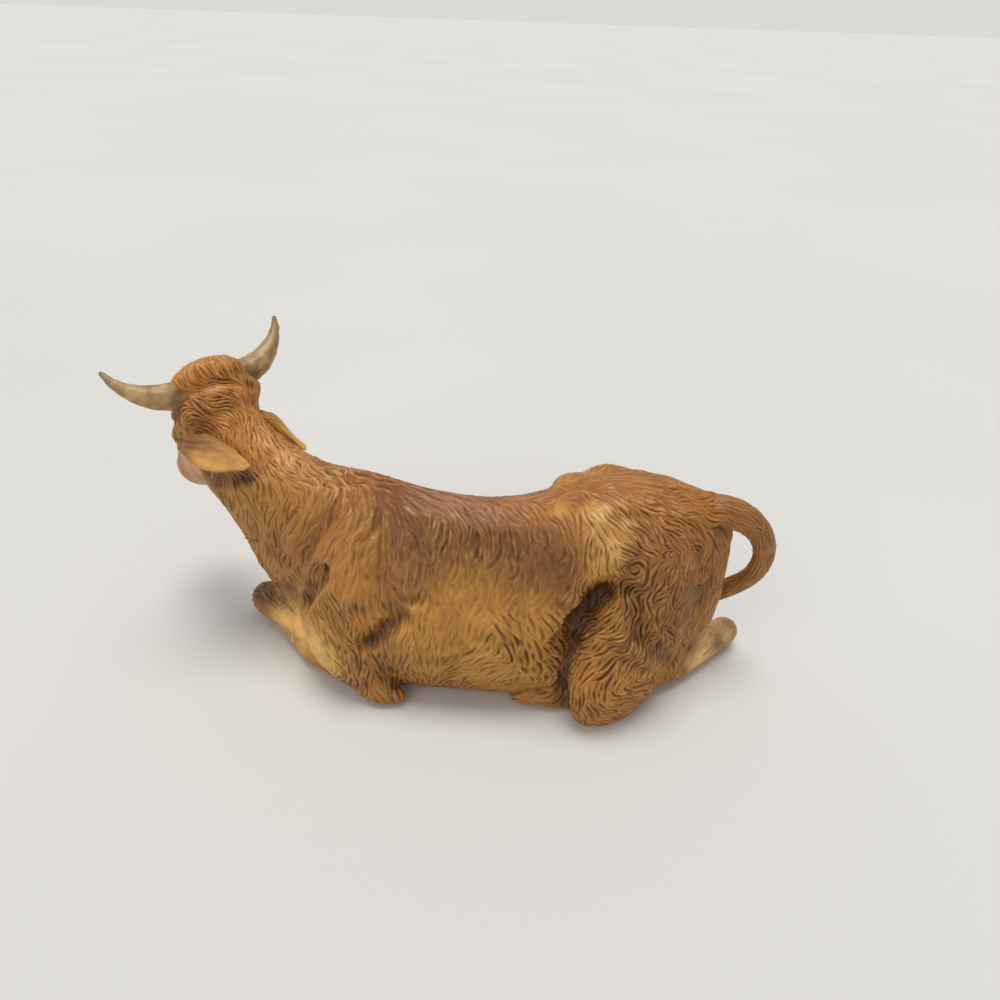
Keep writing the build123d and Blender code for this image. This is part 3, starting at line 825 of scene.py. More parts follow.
@dataclass
class Sculptor:
    """Works the clay: forms first, hair next, paint last."""

    clay: Clay
    halves: Halves = field(default_factory=Halves)

    def spots(self, view: Station, x: float, y: float, both: bool = True) -> list[tuple[np.ndarray, ...]]:
        """Place and normal at a point of the photograph and, where asked, on the other side."""
        found = self.clay.hit(view, x, y)
        if found is None:
            return []
        return [found, self.clay.nearest(self.halves.twin(found[0][None])[0])] if both else [found]

    def press(self, hits: list[tuple[np.ndarray, ...]], touch: Touch, normals: np.ndarray) -> None:
        """Move the clay along the tool's path.

        Args:
            hits: Places along the path, each with its normal.
            touch: Reach, lift and firmness.
            normals: The clay's normals.
        """
        line = np.array([place for place, _ in hits])
        lean = unit(np.mean([normal for _, normal in hits], axis=0))
        low, high = line.min(0) - touch.reach, line.max(0) + touch.reach
        near = np.nonzero(((self.clay.points > low) & (self.clay.points < high)).all(1))[0]
        if not len(near):
            return
        far = reach_to(self.clay.points[near], line) / touch.reach
        share = np.clip(1 - far**2, 0, 1) ** touch.firm
        facing = np.clip(normals[near] @ lean * 1.6 + 0.35, 0, 1)
        way = (normals[near] + lean) / 2
        self.clay.points[near] += way * (share * facing * touch.lift)[:, None]

    def soften(self, rows: str, passes: int, slope: float = 1.6) -> None:
        """Smooth the clay round some places until small knobs are gone.

        Args:
            rows: Side view x and y, reach in millimetres, and 1 for both sides of the animal or 0 for one.
            passes: How many passes of averaging.
            slope: How fast the smoothing fades out over the reach.
        """
        share = np.zeros(len(self.clay.points))
        for x, y, reach, both in dots(rows):
            for place, _ in self.spots(SIDE, x, y, False):
                twin = self.halves.twin(place[None])[0]
                for spot in (place, twin) if both else (place,):
                    far = np.linalg.norm(self.clay.points - spot, axis=1) / reach
                    share = np.maximum(share, np.clip(slope - slope * far, 0, 1))
        soft = self.clay.relaxed(passes, self.clay.edges())
        self.clay.points += (soft - self.clay.points) * share[:, None]
        self.clay.settle()

    def form(self, touches: Iterable[Touch]) -> None:
        """Apply the touches, each on the side it was drawn and, where asked, on the other."""
        normals = self.clay.normals()
        for touch in touches:
            hits = [self.clay.hit(touch.view, x, y) for x, y in dots(touch.line)]
            hits = [found for found in hits if found is not None]
            if not hits:
                LOG.info("touch misses: %s", touch.line)
                continue
            self.press(hits, touch, normals)
            if touch.both:
                twin = self.halves.twin(np.array([place for place, _ in hits]))
                self.press([self.clay.nearest(place) for place in twin], touch, normals)

    def guides(self, combs: Iterable[Comb], back: float = -0.2) -> list[np.ndarray]:
        """The comb table on the clay, with the other side's rows.

        Args:
            combs: The comb table.
            back: A place on the other side counts where its normal's y is over this.

        Returns:
            Arrays of places, normals, directions and stroke sizes.
        """
        rows = []
        for comb in combs:
            sizes = np.array((comb.pitch, comb.length, comb.depth, comb.hook, comb.wave))
            for x, y, turn in dots(comb.at):
                found = self.clay.heading(comb.view, x, y, turn)
                if found is None:
                    continue
                rows.append((*found, sizes))
                if comb.both:
                    twin, ahead = self.halves.twin(np.array((found[0], found[0] + found[2])))
                    place, normal = self.clay.nearest(twin)
                    if normal[1] > back:
                        rows.append((place, normal, unit(ahead - twin), sizes * (1, 1, 1, -1, 1)))
        return [np.array(column) for column in zip(*rows)]

    def flow(self, combs: Iterable[Comb], curls: str, normals: np.ndarray) -> tuple[np.ndarray, np.ndarray]:
        """Hair direction and stroke sizes at every point of the clay.

        Args:
            combs: The comb table.
            curls: Swirls laid over it, with side view x, y and reach.
            normals: The clay's normals.

        Returns:
            Unit directions on the surface, and rows of pitch, length, depth, hook and wave.
        """
        places, leans, ways, strokes = self.guides(combs)
        points = self.clay.points
        way, sizes = np.zeros_like(points), np.zeros((len(points), strokes.shape[1]))
        for first in range(0, len(points), BATCH):
            part = slice(first, first + BATCH)
            gap = ((points[part, None] - places[None]) ** 2).sum(2)
            weight = (0.08 + np.clip(normals[part] @ leans.T, 0, 1)) ** 2 / (gap + 4.0) ** 2
            weight /= weight.sum(1)[:, None]
            way[part], sizes[part] = weight @ ways, weight @ strokes
        for x, y, reach in dots(curls):
            for place, normal in self.spots(SIDE, x, y):
                arm = points - place
                share = np.exp(-((np.linalg.norm(arm, axis=1) / reach) ** 2))
                share *= np.clip(normals @ normal, 0, 1)
                way += (unit(np.cross(arm, normal)) - way) * np.clip(share * 1.1, 0, 1)[:, None]
        swing = ripple(points, 6.0, 11) * sizes[:, 4]
        way = unit(way - (way * normals).sum(1)[:, None] * normals)
        side = np.cross(normals, way)
        return way * np.cos(swing)[:, None] + side * np.sin(swing)[:, None], sizes

    def painted(self, finer: Clay, ground: str, brushes: Iterable[Brush]) -> np.ndarray:
        """Blend the paint patches over a ground colour.

        Args:
            finer: The surface to paint.
            ground: Hex code of the ground.
            brushes: The patches, in order.

        Returns:
            A linear colour for each point.
        """
        colour = plain(ground, len(finer.points))
        wobble = 1 + 0.16 * ripple(finer.points, 5.0, 23) + 0.10 * ripple(finer.points, 2.2, 24)
        for brush in brushes:
            for x, y, reach in dots(brush.at):
                for place, _ in self.spots(brush.view, x, y):
                    near = np.nonzero((np.abs(finer.points - place) < 2.4 * reach).all(1))[0]
                    far = np.linalg.norm(finer.points[near] - place, axis=1) * wobble[near] / reach
                    share = brush.strength * np.exp(-(far**2) * 1.2)
                    colour[near] = blended(colour[near], brush.colour, share)
        return colour

    def brushed(self, finer: Clay, rows: str) -> np.ndarray:
        """How much dry brush and painted highlight each point gets, 0 to 1, from places in the side view."""
        share = np.zeros(len(finer.points))
        for x, y, reach in dots(rows):
            for place, _ in self.spots(SIDE, x, y, False):
                far = np.linalg.norm(finer.points - place, axis=1) / reach
                share = np.maximum(share, np.exp(-(far**2)))
        return share


def streaks(clay: Clay, way: np.ndarray, seed: int, passes: int = 14, drawn: float = 0.6) -> np.ndarray:
    """Fine hair as noise that is drawn out along the hair's direction.

    Args:
        clay: The surface.
        way: The hair's direction at each point.
        seed: Seed of the noise.
        passes: How many times it is drawn out.
        drawn: How far a point goes to its neighbours' mean each time.

    Returns:
        One value for each point, with a mean of 0 and a spread of 1.
    """
    across = np.vstack((clay.faces[:, [0, 2]], clay.faces[:, [1, 3]])).astype(np.int64)
    first, last = np.vstack((clay.edges(), across)).T
    run = unit(clay.points[last] - clay.points[first])
    weight = (np.abs((run * (way[first] + way[last])).sum(1)) / 2) ** 10 + 1e-4
    size = len(clay.points)
    total = np.bincount(first, weight, size) + np.bincount(last, weight, size)
    value = np.random.default_rng(seed).normal(size=size)
    for _ in range(passes):
        mean = np.bincount(first, weight * value[last], size)
        mean += np.bincount(last, weight * value[first], size)
        value = (1 - drawn) * value + drawn * mean / total
    return (value - value.mean()) / value.std()


@dataclass
class Locks:
    """Strokes of hair traced over the clay, to be carved into it.

    Lengths are in millimetres. The gaps and the width are shares of a stroke's pitch, and each row
    holds a station's place, direction, depth and width.
    """

    step: float = 0.5
    cell: float = 1.0
    fewest: int = 4
    foot: float = 0.6
    shallow: float = 0.07
    first_gap: float = 0.86
    next_gap: float = 0.58
    width: float = 0.21
    rows: list = field(default_factory=list)
    grid: dict = field(default_factory=dict)

    def cell_of(self, spot: Vector) -> tuple[int, ...]:
        """The grid cell that a place lies in."""
        return tuple(int(math.floor(c / self.cell)) for c in spot)

    def crowd(self, spot: Vector, gap: float, own: int) -> bool:
        """Whether another stroke passes closer than a gap."""
        cx, cy, cz = self.cell_of(spot)
        px, py, pz = spot
        limit = gap * gap
        for ix, iy, iz in NEIGHBOURS:
            for x, y, z, name in self.grid.get((cx + ix, cy + iy, cz + iz), ()):
                if name != own and (x - px) ** 2 + (y - py) ** 2 + (z - pz) ** 2 < limit:
                    return True
        return False

    def trace(self, clay: Clay, normals: np.ndarray, way: np.ndarray, sizes: np.ndarray, seed: int) -> None:
        """Comb the whole surface with evenly spaced strokes.

        Args:
            clay: The surface.
            normals: Its normals.
            way: The hair's directions.
            sizes: Pitch, length, depth, hook and wave at each point.
            seed: Seed of the strokes' small differences.
        """
        rng = np.random.default_rng(seed)
        finder = finder_of(clay.points)
        points, normal, flow, table = (values.tolist() for values in (clay.points, normals, way, sizes))
        chance = rng.uniform(0.72, 1.3, (len(points), 3)).tolist()
        for name, near in enumerate(rng.permutation(len(points)).tolist()):
            pitch, length, depth, hook, _ = table[near]
            if depth < self.shallow or points[near][2] < self.foot:
                continue
            spot = Vector(points[near])
            if self.crowd(spot, pitch * self.first_gap, name):
                continue
            more, wide, deep = chance[near]
            run = max(self.fewest, int(length * more / self.step))
            stations = []
            for k in range(run):
                n, f = Vector(normal[near]), Vector(flow[near])
                bend = math.radians(hook) * (k / run) ** 2
                f = f * math.cos(bend) + n.cross(f) * math.sin(bend)
                stations.append((spot, f))
                spot = spot + f * self.step
                near = finder.find(spot)[1]
                n = Vector(normal[near])
                spot = spot - n * (spot - Vector(points[near])).dot(n)
                if self.crowd(spot, pitch * self.next_gap, name) or table[near][2] < self.shallow:
                    break
            if len(stations) < self.fewest:
                continue
            for k, (place, f) in enumerate(stations):
                taper = min(1.0, (k + 1) / 3, (len(stations) - k) / 4)
                width = self.width * pitch * (0.5 + 0.5 * taper) * wide
                self.rows.append((*place, *f, depth * deep * taper, width))
                self.grid.setdefault(self.cell_of(place), []).append((*place, name))
        LOG.info("strokes: %d stations", len(self.rows))

    def carve(self, clay: Clay, crest: float = 0.45, dig: float = 1.15, full: float = 0.42) -> np.ndarray:
        """Press the strokes into a finer copy of the clay.

        Args:
            clay: The finer surface.
            crest: Height of a stroke's lip as a share of its depth.
            dig: How deep its groove goes as a share of it.
            full: Depth in millimetres that counts as a full stroke.

        Returns:
            How much each point lies in a stroke, 0 to 1.2.
        """
        normals, rows = clay.normals(), np.array(self.rows)
        rows = rows[nearest_of(rows[:, :3], clay.points)]
        way, depth, width = rows[:, 3:6], rows[:, 6], rows[:, 7]
        arm = clay.points - rows[:, :3]
        arm -= (arm * normals).sum(1)[:, None] * normals
        along = (arm * way).sum(1)
        across = np.sqrt(np.maximum((arm**2).sum(1) - along**2, 0))
        beyond = np.maximum(np.abs(along) - self.step * 0.6, 0)
        groove = np.exp(-((across / width) ** 2)) * np.exp(-((beyond / 0.35) ** 2))
        lip = np.exp(-(((across - 2.2 * width) / (1.1 * width)) ** 2)) * np.exp(-((beyond / 0.5) ** 2))
        clay.points += normals * (depth * (crest * lip - dig * groove))[:, None]
        return groove * np.clip(depth / full, 0, 1.2)


# Materials


class Wiring:
    """Adds nodes to one material's tree."""

    def __init__(self, name: str) -> None:
        """Start a material with an empty tree."""
        self.material = bpy.data.materials.new(name)
        self.material.use_nodes = True
        self.tree = self.material.node_tree
        self.tree.nodes.clear()

    def node(self, kind: str, settings: Optional[dict] = None, **sockets: object) -> bpy.types.Node:
        """Add a node.

        Args:
            kind: Its type.
            settings: Properties that are set first.
            sockets: Values or wires, by socket name with _ for a blank, or by _ and its number.

        Returns:
            The node.
        """
        made = self.tree.nodes.new(kind)
        for key, value in (settings or {}).items():
            setattr(made, key, value)
        for key, value in sockets.items():
            label = key.replace("_", " ")
            target = made.inputs[int(key[1:])] if key[1:].isdigit() else made.inputs[label]
            if isinstance(value, Wire):
                self.tree.links.new(value.socket, target)
            elif isinstance(value, tuple) and len(value) == 3 and target.type == "RGBA":
                target.default_value = (*value, 1.0)
            else:
                target.default_value = value
        return made

    def wire(self, kind: str, output: str, settings: Optional[dict] = None, **sockets: object) -> "Wire":
        """Add a node and return one of its outputs as a wire."""
        return Wire(self, self.node(kind, settings, **sockets).outputs[output])

    def attribute(self, name: str, output: str = "Fac") -> "Wire":
        """A named attribute of the mesh."""
        return self.wire("ShaderNodeAttribute", output, {"attribute_name": name})

    def places(self) -> "Wire":
        """Object coordinates."""
        return self.wire("ShaderNodeTexCoord", "Object")

    def noise(self, scale: float, detail: float = 4.0, rough: float = 0.55) -> "Wire":
        """Noise on object coordinates, 0 to 1."""
        sockets = {"Vector": self.places(), "Scale": scale, "Detail": detail, "Roughness": rough}
        return self.wire("ShaderNodeTexNoise", "Fac", None, **sockets)

    def bump(self, height: "Wire", strength: float, distance: float) -> "Wire":
        """The normal of a bumpy surface, with the distance in metres."""
        sockets = {"Strength": strength, "Distance": distance, "Height": height}
        return self.wire("ShaderNodeBump", "Normal", None, **sockets)

    def mixed(self, share: "Wire | float", first: object, second: object) -> "Wire":
        """A colour between two colours."""
        settings = {"data_type": "RGBA", "clamp_factor": True}
        return self.wire("ShaderNodeMix", "Result", settings, Factor=share, _6=first, _7=second).colour()

    def surface(self, **sockets: object) -> bpy.types.Material:
        """Close the tree with a Principled shader and return the material."""
        shader = self.node("ShaderNodeBsdfPrincipled", None, **sockets)
        end = self.node("ShaderNodeOutputMaterial")
        self.tree.links.new(shader.outputs["BSDF"], end.inputs["Surface"])
        return self.material


class Wire:
    """A shader value, with arithmetic that adds Math nodes."""

    def __init__(self, wiring: Wiring, socket: bpy.types.NodeSocket) -> None:
        """Wrap an output socket."""
        self.wiring, self.socket = wiring, socket

    def _sum(self, operation: str, first: object, second: object) -> "Wire":
        """A Math node on two values."""
        return self.wiring.wire("ShaderNodeMath", "Value", {"operation": operation}, _0=first, _1=second)

    def __add__(self, other: object) -> "Wire":
        """Sum."""
        return self._sum("ADD", self, other)

    __radd__ = __add__

    def __sub__(self, other: object) -> "Wire":
        """Difference."""
        return self._sum("SUBTRACT", self, other)

    def __rsub__(self, other: object) -> "Wire":
        """Reflected difference."""
        return self._sum("SUBTRACT", other, self)

    def __mul__(self, other: object) -> "Wire":
        """Product."""
        return self._sum("MULTIPLY", self, other)

    __rmul__ = __mul__

    def clamped(self) -> "Wire":
        """The value kept between 0 and 1."""
        return self.wiring.wire("ShaderNodeClamp", "Result", None, Value=self, Min=0.0, Max=1.0)

    def band(self, low: float, high: float) -> "Wire":
        """A smooth rise from 0 at low to 1 at high."""
        settings = {"interpolation_type": "SMOOTHSTEP"}
        return self.wiring.wire("ShaderNodeMapRange", "Result", settings, Value=self, _1=low, _2=high)

    def colour(self) -> "Wire":
        """The colour output of a Mix node."""
        return Wire(self.wiring, self.socket.node.outputs[2])


@dataclass(frozen=True)
class CoatPaint:
    """Ochre paint with a brown wash in the carving, painted shade in hollows and a dry-brushed crest."""

    # colour of the wash and of the painted shade
    wash_and_shade: str = "4d2911"
    crest: str = "deb06a"
    mottle: str = "7a4a1e"
    roughness: float = 0.38
    grain: float = 1500.0

    def dressed(self, name: str) -> bpy.types.Material:
        """The material; it reads the paint attribute, the one of wash and painted shade, and the crest
        attribute.
        """
        w = Wiring(name)
        paint = w.attribute("paint", "Color")
        blotch = w.noise(95.0, 5.0).band(0.42, 0.72)
        speck = w.noise(420.0, 3.0).band(0.50, 0.72)
        fine = w.noise(self.grain, 3.0)
        wash_and_shade = w.attribute("wash_and_shade")
        crest = w.attribute("crest")
        colour = w.mixed(blotch * 0.50 + speck * 0.12, paint, rgb(self.mottle))
        colour = w.mixed((crest * (0.30 + 0.24 * speck)).clamped(), colour, rgb(self.crest))
        # brown wash in the carving and painted shade in hollows
        colour = w.mixed((wash_and_shade * (0.50 + 0.34 * blotch)).clamped(), colour, rgb(self.wash_and_shade))
        rough = (self.roughness + 0.22 * wash_and_shade + 0.14 * (fine - 0.5) + 0.10 * blotch).clamped()
        bump = w.bump(fine + 0.6 * speck, 0.35, 0.00018)
        return w.surface(Base_Color=colour, Roughness=rough, Normal=bump, IOR=1.42)


@dataclass(frozen=True)
class HornPaint:
    """Khaki horn, clouded with a paler tint, darker towards the tip, and darkest at the root, partly a wash
    and partly painted shade where it meets the head.
    """

    ground: str = "a3814f"
    pale: str = "c4a26c"
    shade: str = "5a4830"
    # colour of the wash and of the painted shade at the root
    wash_and_shade: str = "3b2a1c"
    roughness: float = 0.36

    def dressed(self, name: str) -> bpy.types.Material:
        """The material; it reads the tip attribute and the one of wash and painted shade."""
        w = Wiring(name)
        tip, wash_and_shade = w.attribute("tip"), w.attribute("wash_and_shade")
        cloud = w.noise(260.0, 4.0)
        fine = w.noise(1800.0, 3.0)
        colour = w.mixed(cloud.band(0.40, 0.68), rgb(self.ground), rgb(self.pale))
        dark = (tip.band(0.45, 1.0) * 0.75 + cloud.band(0.55, 0.75) * 0.25).clamped()
        colour = w.mixed(dark, colour, rgb(self.shade))
        colour = w.mixed(wash_and_shade.clamped(), colour, rgb(self.wash_and_shade))
        rough = (self.roughness + 0.12 * (fine - 0.5) + 0.2 * wash_and_shade).clamped()
        bump = w.bump(fine, 0.25, 0.00015)
        return w.surface(Base_Color=colour, Roughness=rough, Normal=bump, IOR=1.47)


@dataclass(frozen=True)
class CoverPaint:
    """Matt brown moulded plate."""

    ground: str = "3f2c1e"
    worn: str = "5a4330"

    def dressed(self, name: str) -> bpy.types.Material:
        """The material."""
        w = Wiring(name)
        cloud, fine = w.noise(140.0, 5.0), w.noise(2200.0, 2.0)
        colour = w.mixed(cloud.band(0.45, 0.75), rgb(self.ground), rgb(self.worn))
        bump = w.bump(fine, 0.3, 0.00012)
        return w.surface(Base_Color=colour, Roughness=(0.62 + 0.15 * (fine - 0.5)).clamped(), Normal=bump)


# Pieces


def finished(name: str, yard: Yard, clay: Clay, faces: np.ndarray, values: dict) -> bpy.types.Object:
    """Make a closed piece from some faces of a clay, with its attributes.

    Args:
        name: The piece's name.
        yard: The frame change.
        clay: The surface, whose normals the piece keeps so that neighbours shade as one.
        faces: Numbers of the faces that the piece takes.
        values: Attribute names with one value or colour for each point.

    Returns:
        The object.
    """
    used, kept = picked(clay.faces[faces], len(clay.points))
    mesh = mesh_of(yard.outward(clay.points[used]), kept, name)
    made = new_object(name, mesh)
    shell = bmesh.new()
    shell.from_mesh(mesh)
    rims = [e for e in shell.edges if e.is_boundary]
    if rims:
        bmesh.ops.holes_fill(shell, edges=rims, sides=0)
        caps = [f for f in shell.faces if len(f.verts) > 4]
        bmesh.ops.triangulate(shell, faces=caps)
    shell.to_mesh(mesh)
    shell.free()
    mesh.shade_smooth()
    for key, value in values.items():
        is_colour = value.ndim == 2
        layer = mesh.attributes.new(key, "FLOAT_COLOR" if is_colour else "FLOAT", "POINT")
        if is_colour:
            rows = np.column_stack((value[used], np.ones(len(used))))
            layer.data.foreach_set("color", rows.astype(np.float32).ravel())
        else:
            layer.data.foreach_set("value", value[used].astype(np.float32))
    if rims:
        mesh.normals_split_custom_set_from_vertices(clay.normals()[used].tolist())
    return made


def delivered(piece: bpy.types.Object, paint: bpy.types.Material, node: str) -> bpy.types.Object:
    """Paint a piece and let it ride on the root body and stand in for its node."""
    piece.data.materials.append(paint)
    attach(piece, "root")
    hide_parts(node)
    return piece


def paint_maps(clay: Clay, groove: np.ndarray, fine_gap: float = 0.16) -> tuple[np.ndarray, np.ndarray]:
    """Where a wash gathers, with painted shade in the broader hollows, and where a dry brush catches.

    Args:
        clay: The carved surface.
        groove: How much each point lies in a stroke.
        fine_gap: Hollow in millimetres that counts as full.

    Returns:
        The wash with its painted shade, and the crest, each 0 to 1.
    """
    edges, normals = clay.edges(), clay.normals()
    near = clay.hollow(5, edges, normals) / fine_gap
    wide = clay.hollow(40, edges, normals) / (fine_gap * 6)
    # the strokes and fine hollows take the wash; the broader hollows add painted shade
    wash_and_shade = np.clip(0.55 * groove + 0.45 * near + 0.45 * wide, 0, 1)
    crest = np.clip(-0.55 * near - 0.35 * wide, 0, 1)
    return wash_and_shade, crest


@dataclass
class Hide:
    """The trunk with its folded legs, and the head: one skin, cut into closed pieces.

    Lengths are in millimetres. The cuts are the trunk pieces' borders along the animal, and the warmth
    filters the painted patches.
    """

    foundry: Foundry
    voxel: float = 0.68
    coarser: float = 1.8
    passes: int = 8
    cuts: tuple[float, float, float] = (-61.0, -23.0, 12.0)
    neck_end: float = -50.0
    relief: float = 0.07
    hair: float = 0.16
    cover_gap: float = 0.1
    cover_rim: float = 0.12
    rebate: float = 0.9
    ground: str = "ad7434"
    # colour of the painted shade in wide hollows
    shade: str = "42200f"
    # cream of the dry brush and of the painted highlights on the crests
    cream: str = "f2c78c"
    dry_and_highlight_share: float = 0.60
    warmth: tuple[float, float, float] = (1.0, 0.95, 0.74)

    def built(self, paint: bpy.types.Material) -> list[bpy.types.Object]:
        """Make the finished pieces.

        Args:
            paint: The coat's material.

        Returns:
            The pieces, head first.
        """
        sculptor = self.formed()
        finer, values = self.carved(sculptor)
        self.recess(finer)
        owner = np.repeat(self.owners(sculptor.clay), 4)
        made = []
        for k, part in enumerate(Part):
            faces = np.nonzero(owner == k)[0]
            piece = finished(f"coat_{part.value}", self.foundry.yard, finer, faces, values)
            made.append(delivered(piece, paint, "head_and_neck" if part is Part.HEAD else "body"))
        return made

    def formed(self) -> Sculptor:
        """Cast the skin, smooth it and give it its folds and hollows."""
        foundry = self.foundry
        shells = [foundry.copy("body"), foundry.copy("head_and_neck"), foundry.lid()]
        guests = ("left_horn", "right_horn", "left_ear", "right_ear")
        shells += [foundry.plug(guest, "head_and_neck") for guest in guests]
        shells.append(foundry.plug("tail", "body"))
        clay = foundry.cast(shells, self.voxel * (1.0))
        LOG.info("skin: %d faces", len(clay.faces))
        clay.smooth(self.passes)
        clay.settle()
        sculptor = Sculptor(clay)
        sculptor.soften(SOFTENED, 90)
        sculptor.form(TOUCHES)
        clay.smooth(2)
        clay.grounded()
        clay.settle()
        return sculptor

    def carved(self, sculptor: Sculptor) -> tuple[Clay, dict[str, np.ndarray]]:
        """Comb, carve and paint the skin.

        Args:
            sculptor: The sculptor with the formed skin.

        Returns:
            The finer skin, and its paint, wash with painted shade, and crest at each point.
        """
        clay = sculptor.clay
        normals = clay.normals()
        way, sizes = sculptor.flow(COMBS, CURLS, normals)
        # strokes fade out just above the table
        sizes[:, 2] *= np.clip(clay.points[:, 2] / 2.0 - 0.2, 0, 1)
        locks = Locks()
        locks.trace(clay, normals, way, sizes, 5)
        finer = clay.divided()
        LOG.info("divided: %d faces", len(finer.faces))
        # fine hair is fainter where the strokes are shallow
        near = nearest_of(clay.points, finer.points)
        fine = streaks(finer, way[near], 17) * np.clip(sizes[near, 2] / 0.3, 0.15, 1)
        groove = locks.carve(finer)
        finer.points += finer.normals() * (self.relief * fine)[:, None]
        LOG.info("folds opened: %d", finer.open_folds())
        finer.grounded()
        # wash in the carving, with painted shade in the broader hollows
        wash_and_shade, crest = paint_maps(finer, groove)
        wash_and_shade = np.clip(wash_and_shade + self.hair * np.clip(-fine, 0, 2), 0, 1)
        crest = np.clip(crest + self.hair * np.clip(fine, 0, 2), 0, 1)
        # patches first, then the dry brush and painted highlights on the crests, then painted shade in wide
        # hollows
        colour = sculptor.painted(finer, self.ground, PAINTS) * self.warmth
        dry_and_highlight = sculptor.brushed(finer, DRY_AND_HIGHLIGHT) * np.clip(1.5 * crest + 0.30 * fine - 0.25, 0, 1)
        colour = blended(colour, self.cream, self.dry_and_highlight_share * dry_and_highlight)
        # painted shade: darker the deeper a point lies in a wide hollow
        deep = np.clip((clay.hollow(110, clay.edges(), normals)[near] - 0.45) / 2.0, 0, 0.75)
        return finer, {"paint": blended(colour, self.shade, deep), "wash_and_shade": wash_and_shade, "crest": crest * (1 - deep)}

    def owners(self, clay: Clay) -> np.ndarray:
        """Which piece each face of the undivided skin goes to."""
        body, head = self.foundry.copy("body"), self.foundry.copy("head_and_neck")
        trees = BVHTree.FromBMesh(body), BVHTree.FromBMesh(head)
        middles = clay.points[clay.faces].mean(1)
        label = np.searchsorted(np.array(self.cuts), middles[:, 0]) + 1
        front = np.nonzero(middles[:, 0] < self.neck_end)[0]
        for k in front:
            spot = Vector(middles[k])
            if trees[1].find_nearest(spot)[3] < trees[0].find_nearest(spot)[3]:
                label[k] = 0
        body.free()
        head.free()
        return label

    def recess(self, clay: Clay) -> None:
        """Push the underside up inside the cover's outline, so the cover sits in a rebate."""
        low, high = (self.foundry.yard.inward(np.array(c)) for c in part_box("base_cover"))
        half = (high - low) / 2
        middle = (high + low) / 2
        radius = half[1] + self.cover_rim
        straight = max(half[0] - half[1], 0.0)
        beyond = np.maximum(np.abs(clay.points[:, 0] - middle[0]) - straight, 0)
        gap = np.hypot(beyond, clay.points[:, 1] - middle[1])
        inside = (gap < radius) & (clay.points[:, 2] < self.rebate)
        clay.points[inside, 2] = high[2] + self.cover_gap


@dataclass
class Limblet:
    """A seated piece of the casting, worked from its CAD solid: a horn, an ear or the tail."""

    foundry: Foundry
    node: str
    voxel: float = 0.45
    passes: int = 4

    def clay(self) -> Clay:
        """The piece's smoothed clay."""
        clay = self.foundry.cast([self.foundry.copy(self.node)], self.voxel)
        clay.smooth(self.passes)
        clay.settle()
        return clay

    def closed(self, clay: Clay, values: dict, paint: bpy.types.Material, slot: str) -> bpy.types.Object:
        """Turn the clay into the finished piece that replaces its node."""
        piece = finished(f"{self.node}_cast", self.foundry.yard, clay, np.arange(len(clay.faces)), values)
        return delivered(piece, paint, self.node)


@dataclass
class Horn(Limblet):
    """A horn, swollen at the root, with two low rings there and a slightly uneven surface.

    Places along it are shares of its length, and heights are in millimetres.
    """

    root: tuple[float, float, float] = (0.0, 0.0, 0.0)
    length: float = 24.0
    rings: tuple[tuple[float, float], ...] = ((0.13, 0.10), (0.24, 0.07))
    ring_width: float = 0.03
    swell: float = 0.55
    swell_end: float = 0.34
    uneven: float = 0.05

    def built(self, paint: bpy.types.Material) -> bpy.types.Object:
        """Shape and paint the horn."""
        clay = self.clay()
        far = np.linalg.norm(clay.points - np.array(self.root), axis=1) / self.length
        rise = self.swell * np.exp(-((far / self.swell_end) ** 2))
        rise += self.uneven * ripple(clay.points, 3.0, 31)
        for place, height in self.rings:
            rise += height * np.exp(-(((far - place) / self.ring_width) ** 2))
        clay.points += clay.normals() * rise[:, None]
        # a wash in random clouds, darkest at the root, partly painted shade where the horn meets the head
        wash_and_shade = np.clip(0.8 * np.exp(-((far / 0.10) ** 2)) + 0.25 * ripple(clay.points, 4.0, 32), 0, 0.8)
        return self.closed(clay, {"tip": np.clip(far, 0, 1), "wash_and_shade": wash_and_shade}, paint, "horn")


